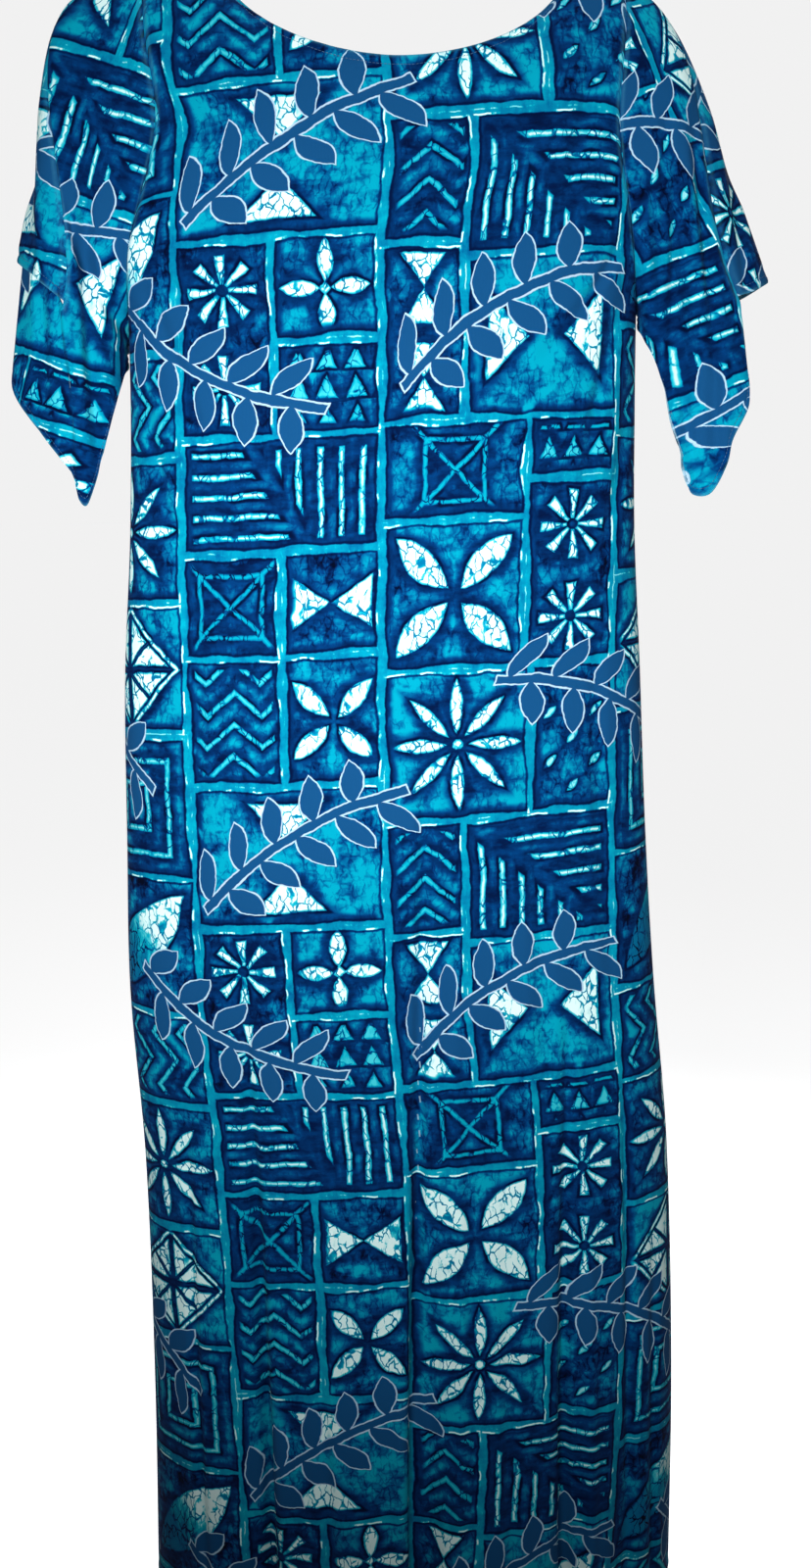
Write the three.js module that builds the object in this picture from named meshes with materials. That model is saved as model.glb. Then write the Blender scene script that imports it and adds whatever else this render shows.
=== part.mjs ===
// Aloha dress: a long, nearly straight shift with a wide boat neck. Each short sleeve is cut in two halves,
// and its front half hangs to a point below the back half.
// Millimetres, +Z up. The front faces -Y, and right and left are the wearer's, so right is at -X.
// The origin lies in the neck opening, midway along the line of the shoulders, where the wearer holds it up.

import * as THREE from 'three';

const WALL = 1.5;
const SEAM_GAP = 0.3;
const CLOTH = { color: 0x11608a, roughness: 0.86, metalness: 0 };

// Level sections of the body, from the armholes down: where its side seams lie, and how far it stands
// forward and back of them.
const SECTIONS = [
  { z: -250, right: -220.4, left: 198, front: 74, back: 66 },
  { z: -340, right: -224, left: 197, front: 73, back: 65 },
  { z: -440, right: -231, left: 197, front: 69, back: 66 },
  { z: -560, right: -243, left: 202, front: 70, back: 74 },
  { z: -700, right: -250, left: 207, front: 75, back: 83 },
  { z: -840, right: -256, left: 215, front: 79, back: 87 },
  { z: -1000, right: -252, left: 228, front: 83, back: 91 },
  { z: -1230, right: -257, left: 234, front: 89, back: 96 },
  { z: -1465, right: -267, left: 232, front: 95, back: 101 },
];
const ROUNDNESS = 2.3;
const HEM = { right: -1446, left: -1463 };

// Shoulder line: the outer ends of the shoulder seams, and the ends at the neck.
const SHOULDER = {
  right: { point: { x: -195, z: 3 }, neck: { x: -134, z: 10 } },
  left: { point: { x: 188, z: -12 }, neck: { x: 143, z: -3 } },
};
const NECKLINE = { front: { drop: 77, reach: 48 }, back: { drop: 55, reach: 40 }, roundness: 1.85 };

// How the cloth bends from the chest up to its top edge: over a round shoulder, and almost straight to the
// middle of the neckline.
const SHOULDER_BEND = 2;
const NECK_BEND = 1.25;

// Armholes: an upright oval on each side. Its seam wanders in x, read from the armpit (0) to the
// shoulder (1).
const ARMHOLE_DEPTH = 42;
const ARMPIT = { right: -264, left: -250 };
const ARMHOLE_SEAM = {
  right: [
    { up: 0, x: -221 },
    { up: 0.22, x: -213 },
    { up: 0.37, x: -199 },
    { up: 0.57, x: -185 },
    { up: 0.8, x: -191 },
    { up: 1, x: -195 },
  ],
  left: [
    { up: 0, x: 198 },
    { up: 0.25, x: 189 },
    { up: 0.45, x: 181 },
    { up: 0.6, x: 181 },
    { up: 0.8, x: 186 },
    { up: 1, x: 188 },
  ],
};

// Hanging folds in the skirt: where each lies on the hem, its half width, how deep it is at the hem (a fold
// that stands out is negative) and the height at which it starts.
const FOLD_GROWTH = 1.3;
const FOLDS = {
  front: [
    { x: -212, half: 30, depth: -5, start: -1000 },
    { x: -157, half: 25, depth: 12, start: -880 },
    { x: -82, half: 46, depth: -6, start: -900 },
    { x: -6, half: 24, depth: 18, start: -840 },
    { x: 62, half: 42, depth: -7, start: -940 },
    { x: 127, half: 23, depth: 14, start: -920 },
    { x: 181, half: 20, depth: 8, start: -1040 },
  ],
  back: [
    { x: -190, half: 27, depth: 10, start: -980 },
    { x: -128, half: 36, depth: -7, start: -930 },
    { x: -68, half: 25, depth: 16, start: -850 },
    { x: 8, half: 44, depth: -6, start: -960 },
    { x: 79, half: 26, depth: 13, start: -900 },
    { x: 146, half: 32, depth: -6, start: -1000 },
    { x: 194, half: 19, depth: 8, start: -1060 },
  ],
};

// Sleeves. The cuff is an oval: its middle, half width and half depth, and the heights of its outer and
// inner side, with corner telling how fast its edge drops from the outer side. seamAngle places the overarm
// seam on it, from the outer side round the front, and wrapAngle where the pointed front half starts below
// that seam. The cap leaves the shoulder at capSlope degrees below level, pulled out by capReach along the
// seam and by backReach behind it, and the outer side flares. point is the edge of the front half, from its
// outer end to the underarm.
const UNDERARM_SLOPE = 83;
const BACK_REACH_FROM = 0.15;
const SLEEVES = {
  right: {
    outward: -1,
    cuff: { x: -268, halfWidth: 42.5, halfDepth: 50, outer: -216, inner: -288, corner: 1 },
    seamAngle: 92,
    wrapAngle: -8,
    capSlope: 0,
    capReach: 1.5,
    backReach: 1.62,
    flare: 0.3,
    point: [
      { around: 0, x: -318, y: -6, z: -292 },
      { around: 0.15, x: -316, y: -26, z: -318 },
      { around: 0.32, x: -293, y: -42, z: -351 },
      { around: 0.47, x: -269, y: -51, z: -384 },
      { around: 0.54, x: -263, y: -54, z: -405 },
      { around: 0.6, x: -256, y: -54, z: -409 },
      { around: 0.7, x: -244, y: -50, z: -376 },
      { around: 0.85, x: -232, y: -37, z: -332 },
      { around: 0.95, x: -227, y: -15, z: -306 },
      { around: 1, x: -225.5, y: 0, z: -300 },
    ],
  },
  left: {
    outward: 1,
    cuff: { x: 255, halfWidth: 54, halfDepth: 47, outer: -249, inner: -268, corner: 4 },
    seamAngle: 66,
    wrapAngle: 66,
    capSlope: 24,
    capReach: 1,
    backReach: 1.3,
    flare: 0.5,
    point: [
      { around: 0, x: 284, y: -44, z: -324 },
      { around: 0.15, x: 284, y: -47, z: -346 },
      { around: 0.3, x: 271, y: -50, z: -372 },
      { around: 0.42, x: 266, y: -52, z: -392 },
      { around: 0.52, x: 253, y: -54, z: -414 },
      { around: 0.6, x: 239, y: -53, z: -415 },
      { around: 0.66, x: 234, y: -51, z: -406 },
      { around: 0.78, x: 225, y: -44, z: -364 },
      { around: 0.9, x: 213, y: -27, z: -314 },
      { around: 0.97, x: 204, y: -10, z: -286 },
      { around: 1, x: 201.5, y: 0, z: -280 },
    ],
  },
};

// Soft hanging folds in the sleeves: the angle on the cuff, half width in degrees, and depth at the cuff.
const SLEEVE_FOLDS = {
  right: [
    { angle: 118, half: 26, depth: 4 },
    { angle: 30, half: 24, depth: 3 },
    { angle: -70, half: 34, depth: 5 },
    { angle: -128, half: 26, depth: 4 },
  ],
  left: [
    { angle: 96, half: 22, depth: -4 },
    { angle: 128, half: 24, depth: 6 },
    { angle: -34, half: 30, depth: 4 },
    { angle: -104, half: 32, depth: 5 },
  ],
};

// How finely the pieces are divided. A panel has columns at the middle, flanks and feet of each fold, and
// between these others no closer than a share of its half width.
const PANEL_COLUMNS = 28;
const FOLD_COLUMNS = [0, 0.45, -0.45, 1, -1];
const FOLD_ROOM = 0.026;
const COLUMN_ROOM = 0.03;
const SKIRT_ROWS = 14;
const ARMHOLE_STEPS = 14;
const SLEEVE_ROWS = 9;
const POINT_ROWS = 6;
const WRAP_COLUMNS = 5;

// The back half stops short of the cuff line by this share of its last row, and the front half's free edge
// tucks in behind it.
const BACK_CUFF_SHORT = 0.14;
const TUCK = { inset: 6, rise: 6 };

const clamp = (value, low, high) => Math.min(Math.max(value, low), high);
const mix = (from, to, share) => from + (to - from) * share;
const radians = (degrees) => (degrees * Math.PI) / 180;

// Reads a column of a table between its rows, on a smooth curve through them.
function read(rows, by, column, at) {
  const last = rows.length - 1;
  const direction = Math.sign(rows[last][by] - rows[0][by]);
  let i = 0;
  while (i < last - 1 && (at - rows[i + 1][by]) * direction > 0) {
    i += 1;
  }
  const slope = (a, b) => (rows[b][column] - rows[a][column]) / (rows[b][by] - rows[a][by]);
  const span = rows[i + 1][by] - rows[i][by];
  const t = clamp((at - rows[i][by]) / span, 0, 1);
  const leave = slope(Math.max(i - 1, 0), i + 1) * span;
  const arrive = slope(i, Math.min(i + 2, last)) * span;
  return hermite(rows[i][column], leave, rows[i + 1][column], arrive, t);
}

function hermite(from, leave, to, arrive, t) {
  const square = t * t;
  const cube = square * t;
  return (
    from * (2 * cube - 3 * square + 1) +
    leave * (cube - 2 * square + t) +
    to * (3 * square - 2 * cube) +
    arrive * (cube - square)
  );
}

// Depth of a fold's round-bottomed groove at a distance from its middle line.
function groove(distance, half) {
  const share = clamp(Math.abs(distance) / half, 0, 1);
  return Math.cos((share * Math.PI) / 2) ** 2;
}

// Height of the shoulder line at x, straight between its four named points.
function shoulderHeight(x) {
  const { right, left } = SHOULDER;
  const line = [right.point, right.neck, left.neck, left.point];
  let i = 0;
  while (i < 2 && x > line[i + 1].x) {
    i += 1;
  }
  return mix(line[i].z, line[i + 1].z, (x - line[i].x) / (line[i + 1].x - line[i].x));
}

// Where x lies across the neck opening: -1 and 1 are its ends, beyond them it is on a shoulder seam.
function acrossNeck(x) {
  const middle = (SHOULDER.right.neck.x + SHOULDER.left.neck.x) / 2;
  const half = (SHOULDER.left.neck.x - SHOULDER.right.neck.x) / 2;
  return clamp((x - middle) / half, -1, 1);
}

// A point on the armhole seam, from the armpit (up = 0) to the shoulder (1), and the way into the
// cloth there.
function armholePoint(side, facing, up) {
  const round = Math.sqrt(Math.max(0, 1 - (2 * up - 1) ** 2));
  const y = facing * Math.max(ARMHOLE_DEPTH * round, SEAM_GAP / 2);
  const height = SHOULDER[side].point.z - ARMPIT[side];
  const point = new THREE.Vector3(
    read(ARMHOLE_SEAM[side], 'up', 'x', up),
    y,
    ARMPIT[side] + height * up,
  );
  const into = new THREE.Vector3(
    0,
    (-facing * round) / ARMHOLE_DEPTH,
    -(2 * up - 1) / (height / 2),
  ).normalize();
  return { point, into };
}

// The skirt's folds at one place: how far in the cloth lies, by its height and its place across the hem.
function foldDepth(face, across, z, hemMiddle, hemHalf) {
  let depth = 0;
  for (const fold of FOLDS[face]) {
    const share = (fold.start - z) / (fold.start - HEM.right);
    const grown = Math.max(0, share) ** FOLD_GROWTH;
    depth += fold.depth * grown * groove(hemMiddle + hemHalf * across - fold.x, fold.half);
  }
  return depth;
}

// A point on the outside of a body panel. across runs from the right side seam (-1) to the left (1), and up
// from the hem (-1) through the armpits (0) to the shoulders and neckline (1).
function bodyPoint(face, across, up) {
  const facing = face === 'front' ? -1 : 1;
  const share = (across + 1) / 2;
  const armpit = mix(ARMPIT.right, ARMPIT.left, share);
  if (up <= 0) {
    return skirtPoint(face, facing, across, mix(armpit, mix(HEM.right, HEM.left, share), -up));
  }
  const right = armholePoint('right', facing, up).point;
  const left = armholePoint('left', facing, up).point;
  const x = mix(right.x, left.x, share);
  const xTop = mix(SHOULDER.right.point.x, SHOULDER.left.point.x, share);
  const neck = acrossNeck(xTop);
  const dip = (1 - Math.abs(neck) ** NECKLINE.roundness) ** (1 / NECKLINE.roundness);
  const top = shoulderHeight(xTop) - NECKLINE[face].drop * dip;
  const z = mix(armpit, top, up);

  // The armholes cut into the body's oval, so each row stops where the oval is as deep as its armhole.
  const chest = SECTIONS[0][face];
  const cut = ovalDepth(((2 * ARMHOLE_DEPTH) / chest) * Math.sqrt(up / (1 + up)));
  const topCut = ovalDepth(((2 * ARMHOLE_DEPTH) / chest) * Math.sqrt(1 / 2));
  const rim = (NECKLINE[face].reach * Math.sqrt(1 - neck * neck)) / ovalDepth(across * topCut);
  const bend = mix(NECK_BEND, SHOULDER_BEND, neck * neck);
  const forward = mix(rim, chest, Math.max(0, 1 - up ** bend) ** (1 / bend));
  const y = facing * Math.max(forward * ovalDepth(across * cut), SEAM_GAP / 2);
  return new THREE.Vector3(x, y, z);
}

// Depth of the body's oval, as a share of its greatest depth, at a share of its half width.
function ovalDepth(across) {
  return Math.max(0, 1 - Math.abs(across) ** ROUNDNESS) ** (1 / ROUNDNESS);
}

// Below the armpits the body is a level oval whose two sides swing in and out by the table.
function skirtPoint(face, facing, across, z) {
  const right = read(SECTIONS, 'z', 'right', z);
  const left = read(SECTIONS, 'z', 'left', z);
  const middle = (right + left) / 2;
  const half = (left - right) / 2;
  const reach = read(SECTIONS, 'z', face, z);
  const depth = reach * ovalDepth(across);
  const last = SECTIONS[SECTIONS.length - 1];
  const fold = foldDepth(face, across, z, (last.right + last.left) / 2, (last.left - last.right) / 2);
  const way = new THREE.Vector2(across / half, depth / (reach * reach)).normalize();
  const y = Math.max(depth - way.y * fold, SEAM_GAP / 2);
  return new THREE.Vector3(middle + half * across - way.x * fold, facing * y, z);
}

// Columns of a panel: evenly spread round the oval, with more where a fold or an end of the neck lies.
function panelColumns(face) {
  const last = SECTIONS[SECTIONS.length - 1];
  const hemMiddle = (last.right + last.left) / 2;
  const hemHalf = (last.left - last.right) / 2;
  const topMiddle = (SHOULDER.right.point.x + SHOULDER.left.point.x) / 2;
  const topHalf = (SHOULDER.left.point.x - SHOULDER.right.point.x) / 2;
  const kept = [-1, 1];
  const keep = (across, room) => {
    if (kept.every((other) => Math.abs(other - across) >= room)) {
      kept.push(across);
    }
  };
  keep((SHOULDER.right.neck.x - topMiddle) / topHalf, 0);
  keep((SHOULDER.left.neck.x - topMiddle) / topHalf, 0);
  for (const share of FOLD_COLUMNS) {
    for (const fold of FOLDS[face]) {
      keep((fold.x + share * fold.half - hemMiddle) / hemHalf, FOLD_ROOM);
    }
  }
  for (let i = 1; i < PANEL_COLUMNS; i += 1) {
    const turn = Math.sin(Math.PI * (i / PANEL_COLUMNS - 0.5));
    keep(Math.sign(turn) * Math.abs(turn) ** (2 / ROUNDNESS), COLUMN_ROOM);
  }
  return kept.sort((a, b) => a - b);
}

// A cloth wall from a net of outside points. cells lists its four-sided cells, each by four point numbers,
// and into[i] is the way from outside point i to the inside one, where a seam fixes it.
function clothWall(outside, cells, into) {
  const normals = outside.map(() => new THREE.Vector3());
  for (const cell of cells) {
    const [a, b, c, d] = cell.map((i) => outside[i]);
    const facing = c.clone().sub(a).cross(d.clone().sub(b));
    for (const i of cell) {
      normals[i].add(facing);
    }
  }
  const inside = outside.map((point, i) => {
    const way = into[i] ?? normals[i].clone().normalize().negate();
    return point.clone().addScaledVector(way, WALL);
  });
  const count = outside.length;
  const used = new Set(cells.flatMap((cell) => cell.map((from, k) => `${from},${cell[(k + 1) % 4]}`)));
  const triangles = [];
  for (const [a, b, c, d] of cells) {
    triangles.push([a, b, c], [a, c, d]);
    triangles.push([a + count, c + count, b + count], [a + count, d + count, c + count]);
  }
  for (const edge of used) {
    const [from, to] = edge.split(',').map(Number);
    if (!used.has(`${to},${from}`)) {
      triangles.push([to, from, from + count], [to, from + count, to + count]);
    }
  }
  const geometry = new THREE.BufferGeometry();
  geometry.setFromPoints([...outside, ...inside]);
  geometry.setIndex(triangles.flat());
  geometry.computeVertexNormals();
  return geometry;
}

// A cell of a net, with its points in the order that faces out.
function cellOf(a, b, c, d, reversed) {
  return reversed ? [d, c, b, a] : [a, b, c, d];
}

function bodyPanel(face) {
  const facing = face === 'front' ? -1 : 1;
  const columns = panelColumns(face);
  const rows = [];
  for (let i = SKIRT_ROWS; i > 0; i -= 1) {
    rows.push(-i / SKIRT_ROWS);
  }
  for (let i = 0; i <= ARMHOLE_STEPS; i += 1) {
    rows.push((1 - Math.cos((Math.PI * i) / ARMHOLE_STEPS)) / 2);
  }
  const outside = [];
  const into = [];
  const across = columns.length;
  rows.forEach((up, r) => {
    columns.forEach((at, c) => {
      const i = outside.length;
      outside.push(bodyPoint(face, at, up));
      const side = at < 0 ? 'right' : 'left';
      const onEdge = c === 0 || c === across - 1;
      const onShoulder = r === rows.length - 1 && Math.abs(outside[i].y) < SEAM_GAP;
      if (onEdge && up <= 0) {
        into[i] = new THREE.Vector3(-Math.sign(at), 0, 0);
      } else if (onEdge) {
        into[i] = armholePoint(side, facing, up).into;
      } else if (onShoulder) {
        into[i] = new THREE.Vector3(0, 0, -1);
      }
    });
  });
  const cells = [];
  for (let r = 0; r < rows.length - 1; r += 1) {
    for (let c = 0; c < across - 1; c += 1) {
      const i = r * across + c;
      cells.push(cellOf(i, i + 1, i + 1 + across, i + across, face === 'back'));
    }
  }
  return clothWall(outside, cells, into);
}

// Height of the cuff's slanting edge at x.
function cuffHeight(sleeve, x) {
  const { cuff, outward } = sleeve;
  const share = (outward * (x - cuff.x) + cuff.halfWidth) / (2 * cuff.halfWidth);
  return mix(cuff.inner, cuff.outer, clamp(share, 0, 1) ** cuff.corner);
}

// A point on the cuff at an angle, from the outer side (0) round the front to the inner side (180).
function cuffPoint(side, angle) {
  const sleeve = SLEEVES[side];
  const { cuff, outward } = sleeve;
  const fold = sleeveFold(side, angle);
  const x = cuff.x + outward * (cuff.halfWidth - fold) * Math.cos(radians(angle));
  const y = -(cuff.halfDepth - fold) * Math.sin(radians(angle));
  return new THREE.Vector3(x, y, cuffHeight(sleeve, x));
}

function sleeveFold(side, angle) {
  return SLEEVE_FOLDS[side].reduce(
    (depth, fold) => depth + fold.depth * groove(angle - fold.angle, fold.half),
    0,
  );
}

function cuffAngle(side, ring) {
  const { seamAngle } = SLEEVES[side];
  return mix(seamAngle, ring < 0 ? -180 : 180, Math.abs(ring));
}

// A point on the outside of a sleeve. ring runs from the overarm seam (0) round the front (to 1) or round the
// back (to -1) to the underarm seam, and down from the armhole (0) to the cuff (1).
function sleevePoint(side, ring, down) {
  const sleeve = SLEEVES[side];
  const turn = Math.min(Math.abs(ring), 1);
  const start = armholePoint(side, ring < 0 ? 1 : -1, (1 + Math.cos(Math.PI * turn)) / 2).point;
  start.x += sleeve.outward * SEAM_GAP;
  start.y = turn === 0 || turn === 1 ? 0 : start.y;
  const end = cuffPoint(side, cuffAngle(side, Math.sign(ring) * turn));
  const length = start.distanceTo(end);
  const slope = radians(mix(sleeve.capSlope, UNDERARM_SLOPE, turn));
  const behind = ring < 0 ? Math.min(turn / BACK_REACH_FROM, 1) : 0;
  const pull = length * mix(mix(sleeve.capReach, sleeve.backReach, behind), 1, turn);
  const leave = new THREE.Vector3(sleeve.outward * Math.cos(slope), 0, -Math.sin(slope)).multiplyScalar(pull);
  const arrive = new THREE.Vector3(sleeve.outward * sleeve.flare * (1 - turn), 0, -1).multiplyScalar(length);
  const at = (axis) => hermite(start[axis], leave[axis], end[axis], arrive[axis], down);
  return new THREE.Vector3(at('x'), at('y'), at('z'));
}

// The sleeve's directions at a point, taken from points a small share to either side of it: along its ring
// and into the cloth.
const FRAME_STEP = 0.002;
function sleeveFrame(side, ring, down) {
  const along = (share) => sleevePoint(side, share - 2 * Math.sign(share) * (Math.abs(share) > 1), down);
  const across = along(ring + FRAME_STEP).sub(along(ring - FRAME_STEP));
  const above = sleevePoint(side, ring, Math.max(down - FRAME_STEP, 0));
  const drop = sleevePoint(side, ring, Math.min(down + FRAME_STEP, 1)).sub(above);
  const into = across.clone().cross(drop).multiplyScalar(-SLEEVES[side].outward);
  return { along: across.normalize(), into: into.normalize() };
}

// Lays out a sleeve half as a net: its points, seams and cells down to the cuff.
function sleeveNet(side, half) {
  const way = half === 'front' ? 1 : -1;
  const outside = [];
  const into = [];
  const across = ARMHOLE_STEPS + 1;
  for (let r = 0; r <= SLEEVE_ROWS; r += 1) {
    const down = r / SLEEVE_ROWS;
    for (let c = 0; c < across; c += 1) {
      const ring = (way * c) / ARMHOLE_STEPS;
      const point = sleevePoint(side, ring, down);
      const frame = sleeveFrame(side, ring, down);
      const onSeam = c === 0 || c === ARMHOLE_STEPS;
      if (onSeam) {
        const inward = c === 0 ? way : -way;
        point.addScaledVector(frame.along, (inward * SEAM_GAP) / 2);
        into[outside.length] = frame.into;
      }
      if (r === 0 && c < ARMHOLE_STEPS) {
        into[outside.length] = armholePoint(side, -way, (1 + Math.cos(Math.PI * Math.abs(ring))) / 2).into;
      }
      if (half === 'back' && r === SLEEVE_ROWS) {
        point.lerp(outside[outside.length - across], BACK_CUFF_SHORT);
      }
      outside.push(point);
    }
  }
  const reversed = (half === 'back') !== (side === 'left');
  const cells = [];
  for (let r = 0; r < SLEEVE_ROWS; r += 1) {
    for (let c = 0; c < ARMHOLE_STEPS; c += 1) {
      const i = r * across + c;
      cells.push(cellOf(i, i + across, i + across + 1, i + 1, reversed));
    }
  }
  return { outside, into, cells, reversed };
}

function sleeveBack(side) {
  const net = sleeveNet(side, 'back');
  return clothWall(net.outside, net.cells, net.into);
}

// The front half goes on below the cuff line to its point. Where it wraps round the outer side, its free top
// edge tucks in behind the back half.
function sleeveFront(side) {
  const sleeve = SLEEVES[side];
  const { outside, into, cells, reversed } = sleeveNet(side, 'front');
  const top = [];
  const wraps = sleeve.wrapAngle < sleeve.seamAngle;
  for (let c = wraps ? 0 : WRAP_COLUMNS; c < WRAP_COLUMNS; c += 1) {
    const angle = mix(sleeve.wrapAngle, sleeve.seamAngle, c / WRAP_COLUMNS);
    const point = cuffPoint(side, angle);
    point.x -= sleeve.outward * TUCK.inset * Math.cos(radians(angle));
    point.y += TUCK.inset * Math.sin(radians(angle));
    point.z += TUCK.rise;
    top.push({ index: outside.length, angle });
    outside.push(point);
  }
  for (let c = 0; c <= ARMHOLE_STEPS; c += 1) {
    const index = SLEEVE_ROWS * (ARMHOLE_STEPS + 1) + c;
    top.push({ index, angle: cuffAngle(side, c / ARMHOLE_STEPS) });
  }
  let above = top.map((entry) => entry.index);
  for (let r = 1; r <= POINT_ROWS; r += 1) {
    const row = top.map(({ index, angle }) => {
      const around = (angle - sleeve.wrapAngle) / (180 - sleeve.wrapAngle);
      const hem = new THREE.Vector3(
        read(sleeve.point, 'around', 'x', around),
        Math.min(read(sleeve.point, 'around', 'y', around), -SEAM_GAP / 2),
        read(sleeve.point, 'around', 'z', around),
      );
      outside.push(outside[index].clone().lerp(hem, r / POINT_ROWS));
      return outside.length - 1;
    });
    into[row[row.length - 1]] = new THREE.Vector3(sleeve.outward, 0, 0);
    for (let c = 0; c < row.length - 1; c += 1) {
      cells.push(cellOf(above[c], row[c], row[c + 1], above[c + 1], reversed));
    }
    above = row;
  }
  return clothWall(outside, cells, into);
}

function piece(name, geometry) {
  const mesh = new THREE.Mesh(geometry, new THREE.MeshStandardMaterial({ ...CLOTH, side: THREE.DoubleSide }));
  mesh.name = name;
  return mesh;
}

const dress = new THREE.Group();
dress.add(piece('front', bodyPanel('front')));
dress.add(piece('back', bodyPanel('back')));
for (const side of ['right', 'left']) {
  dress.add(piece(`sleeve_front_${side}`, sleeveFront(side)));
  dress.add(piece(`sleeve_back_${side}`, sleeveBack(side)));
}

export default dress;
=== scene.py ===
# %% [markdown]
# A long, nearly straight shift dress with a wide boat neck and short sleeves, in a block-printed cotton.
# The dress is filled out as if worn, with nobody in it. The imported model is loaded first: its solids fix
# where every seam and edge lies, and each piece of cloth made here stands for one of them.

# %% Load the frame
import math

import bpy
import numpy as np
from mathutils import Matrix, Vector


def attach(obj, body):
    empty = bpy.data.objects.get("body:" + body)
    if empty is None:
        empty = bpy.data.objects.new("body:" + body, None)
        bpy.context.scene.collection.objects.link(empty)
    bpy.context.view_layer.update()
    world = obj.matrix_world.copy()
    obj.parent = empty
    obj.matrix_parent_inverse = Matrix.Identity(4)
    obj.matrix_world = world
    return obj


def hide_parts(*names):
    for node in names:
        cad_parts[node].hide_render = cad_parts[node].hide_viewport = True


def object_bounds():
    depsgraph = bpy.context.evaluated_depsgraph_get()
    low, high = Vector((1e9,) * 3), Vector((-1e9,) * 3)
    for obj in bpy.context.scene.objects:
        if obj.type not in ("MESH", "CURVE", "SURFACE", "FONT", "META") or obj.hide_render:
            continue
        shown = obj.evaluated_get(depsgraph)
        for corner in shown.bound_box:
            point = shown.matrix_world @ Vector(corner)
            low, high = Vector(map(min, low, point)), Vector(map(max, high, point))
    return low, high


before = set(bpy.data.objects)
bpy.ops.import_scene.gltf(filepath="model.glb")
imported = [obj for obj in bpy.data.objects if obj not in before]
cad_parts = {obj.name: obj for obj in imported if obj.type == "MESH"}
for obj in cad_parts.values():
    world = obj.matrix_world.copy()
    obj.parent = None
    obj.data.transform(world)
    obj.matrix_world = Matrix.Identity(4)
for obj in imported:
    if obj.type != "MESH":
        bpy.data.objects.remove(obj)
cad_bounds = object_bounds()
MM = 0.001
print("pieces in the frame:", sorted(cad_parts))

# %% [markdown]
# The picture was taken from close by, a little above the waist, with the camera tipped down and very
# slightly turned. A camera placed by hand would slide off the outline of the dress, so its place, its
# tilt and its roll are numbers that line the solids up with the picture.

# %% The camera
EYE = (-0.0032, -1.32, -0.3916)
TILT_DOWN = math.radians(11.5)
ROLL = math.radians(1.6)
LENS = 35
SENSOR = 36

lens = bpy.data.cameras.new("camera")
lens.lens = LENS
lens.sensor_fit = "VERTICAL"
lens.sensor_height = SENSOR
camera = bpy.data.objects.new("camera", lens)
camera.matrix_world = (
    Matrix.Translation(EYE)
    @ Matrix.Rotation(math.pi / 2 - TILT_DOWN, 4, "X")
    @ Matrix.Rotation(-ROLL, 4, "Z")
)
bpy.context.collection.objects.link(camera)
bpy.context.scene.camera = camera
print("camera at", [round(place, 3) for place in camera.location])

# %% [markdown]
# The studio is a pale floor under an even, pale sky, so that the dress can be looked at from all sides.
# Lamps light only what is near them, and a plain floor would turn dark towards the horizon. This one
# glows as much as the sky does, so the two meet without a line. A bright sky and floor would also light
# the cloth from all round and flatten its folds: the camera sees them bright, but the light that they
# send to the cloth is soft. The lamps are large and close to the camera, because the picture is lit from
# the front, with one behind.

# %% Floor
FLOOR_BELOW_HEM = 0.03
FLOOR_REACH = 40.0
PAPER_COLOR = 0.9
SKY_SEEN = 0.88
SKY_LIGHT = 0.07
PAPER_ROUGHNESS = 0.9

floor_z = cad_bounds[0][2] - FLOOR_BELOW_HEM
directions = ((-1, -1), (1, -1), (1, 1), (-1, 1))
corners = [(x * FLOOR_REACH, y * FLOOR_REACH, floor_z) for x, y in directions]
floor_mesh = bpy.data.meshes.new("floor")
floor_mesh.from_pydata(corners, [], [(0, 1, 2, 3)])
floor = bpy.data.objects.new("floor", floor_mesh)
floor.visible_diffuse = False
bpy.context.collection.objects.link(floor)
paper = bpy.data.materials.new("pale paper")
paper.use_nodes = True
paper_shader = paper.node_tree.nodes["Principled BSDF"]
paper_shader.inputs["Base Color"].default_value = (PAPER_COLOR, PAPER_COLOR, PAPER_COLOR, 1)
paper_shader.inputs["Roughness"].default_value = PAPER_ROUGHNESS
paper_shader.inputs["Specular IOR Level"].default_value = 0
paper_shader.inputs["Emission Color"].default_value = (1, 1, 1, 1)
paper_shader.inputs["Emission Strength"].default_value = SKY_SEEN - PAPER_COLOR * SKY_LIGHT
floor_mesh.materials.append(paper)
print("floor at", round(floor_z, 3))


# %% Soft lights
def area_light(name, place, target, size, power, spread):
    """A square lamp that faces its target. The spread, in degrees, keeps its light off the rest."""
    light = bpy.data.lights.new(name, "AREA")
    light.size = size
    light.energy = power
    light.spread = math.radians(spread)
    lamp = bpy.data.objects.new(name, light)
    toward = np.subtract(target, place)
    flat = math.hypot(toward[0], toward[1])
    lamp.location = place
    lamp.rotation_euler = (math.atan2(flat, -toward[2]), 0, math.atan2(-toward[0], toward[1]))
    bpy.context.collection.objects.link(lamp)


area_light("key", (-0.33, -1.25, -0.42), (0.02, 0, -0.48), size=0.5, power=6.1, spread=78)
area_light("fill", (1.1, -1.4, -0.2), (0.1, 0, -0.36), size=0.9, power=1.9, spread=80)
area_light("behind", (0.6, 1.5, 0.1), (0, 0, -0.6), size=1.0, power=14.0, spread=110)
area_light("above", (0.3, 0.1, 1.4), (0, 0, 0), size=0.8, power=5.0, spread=100)

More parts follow.
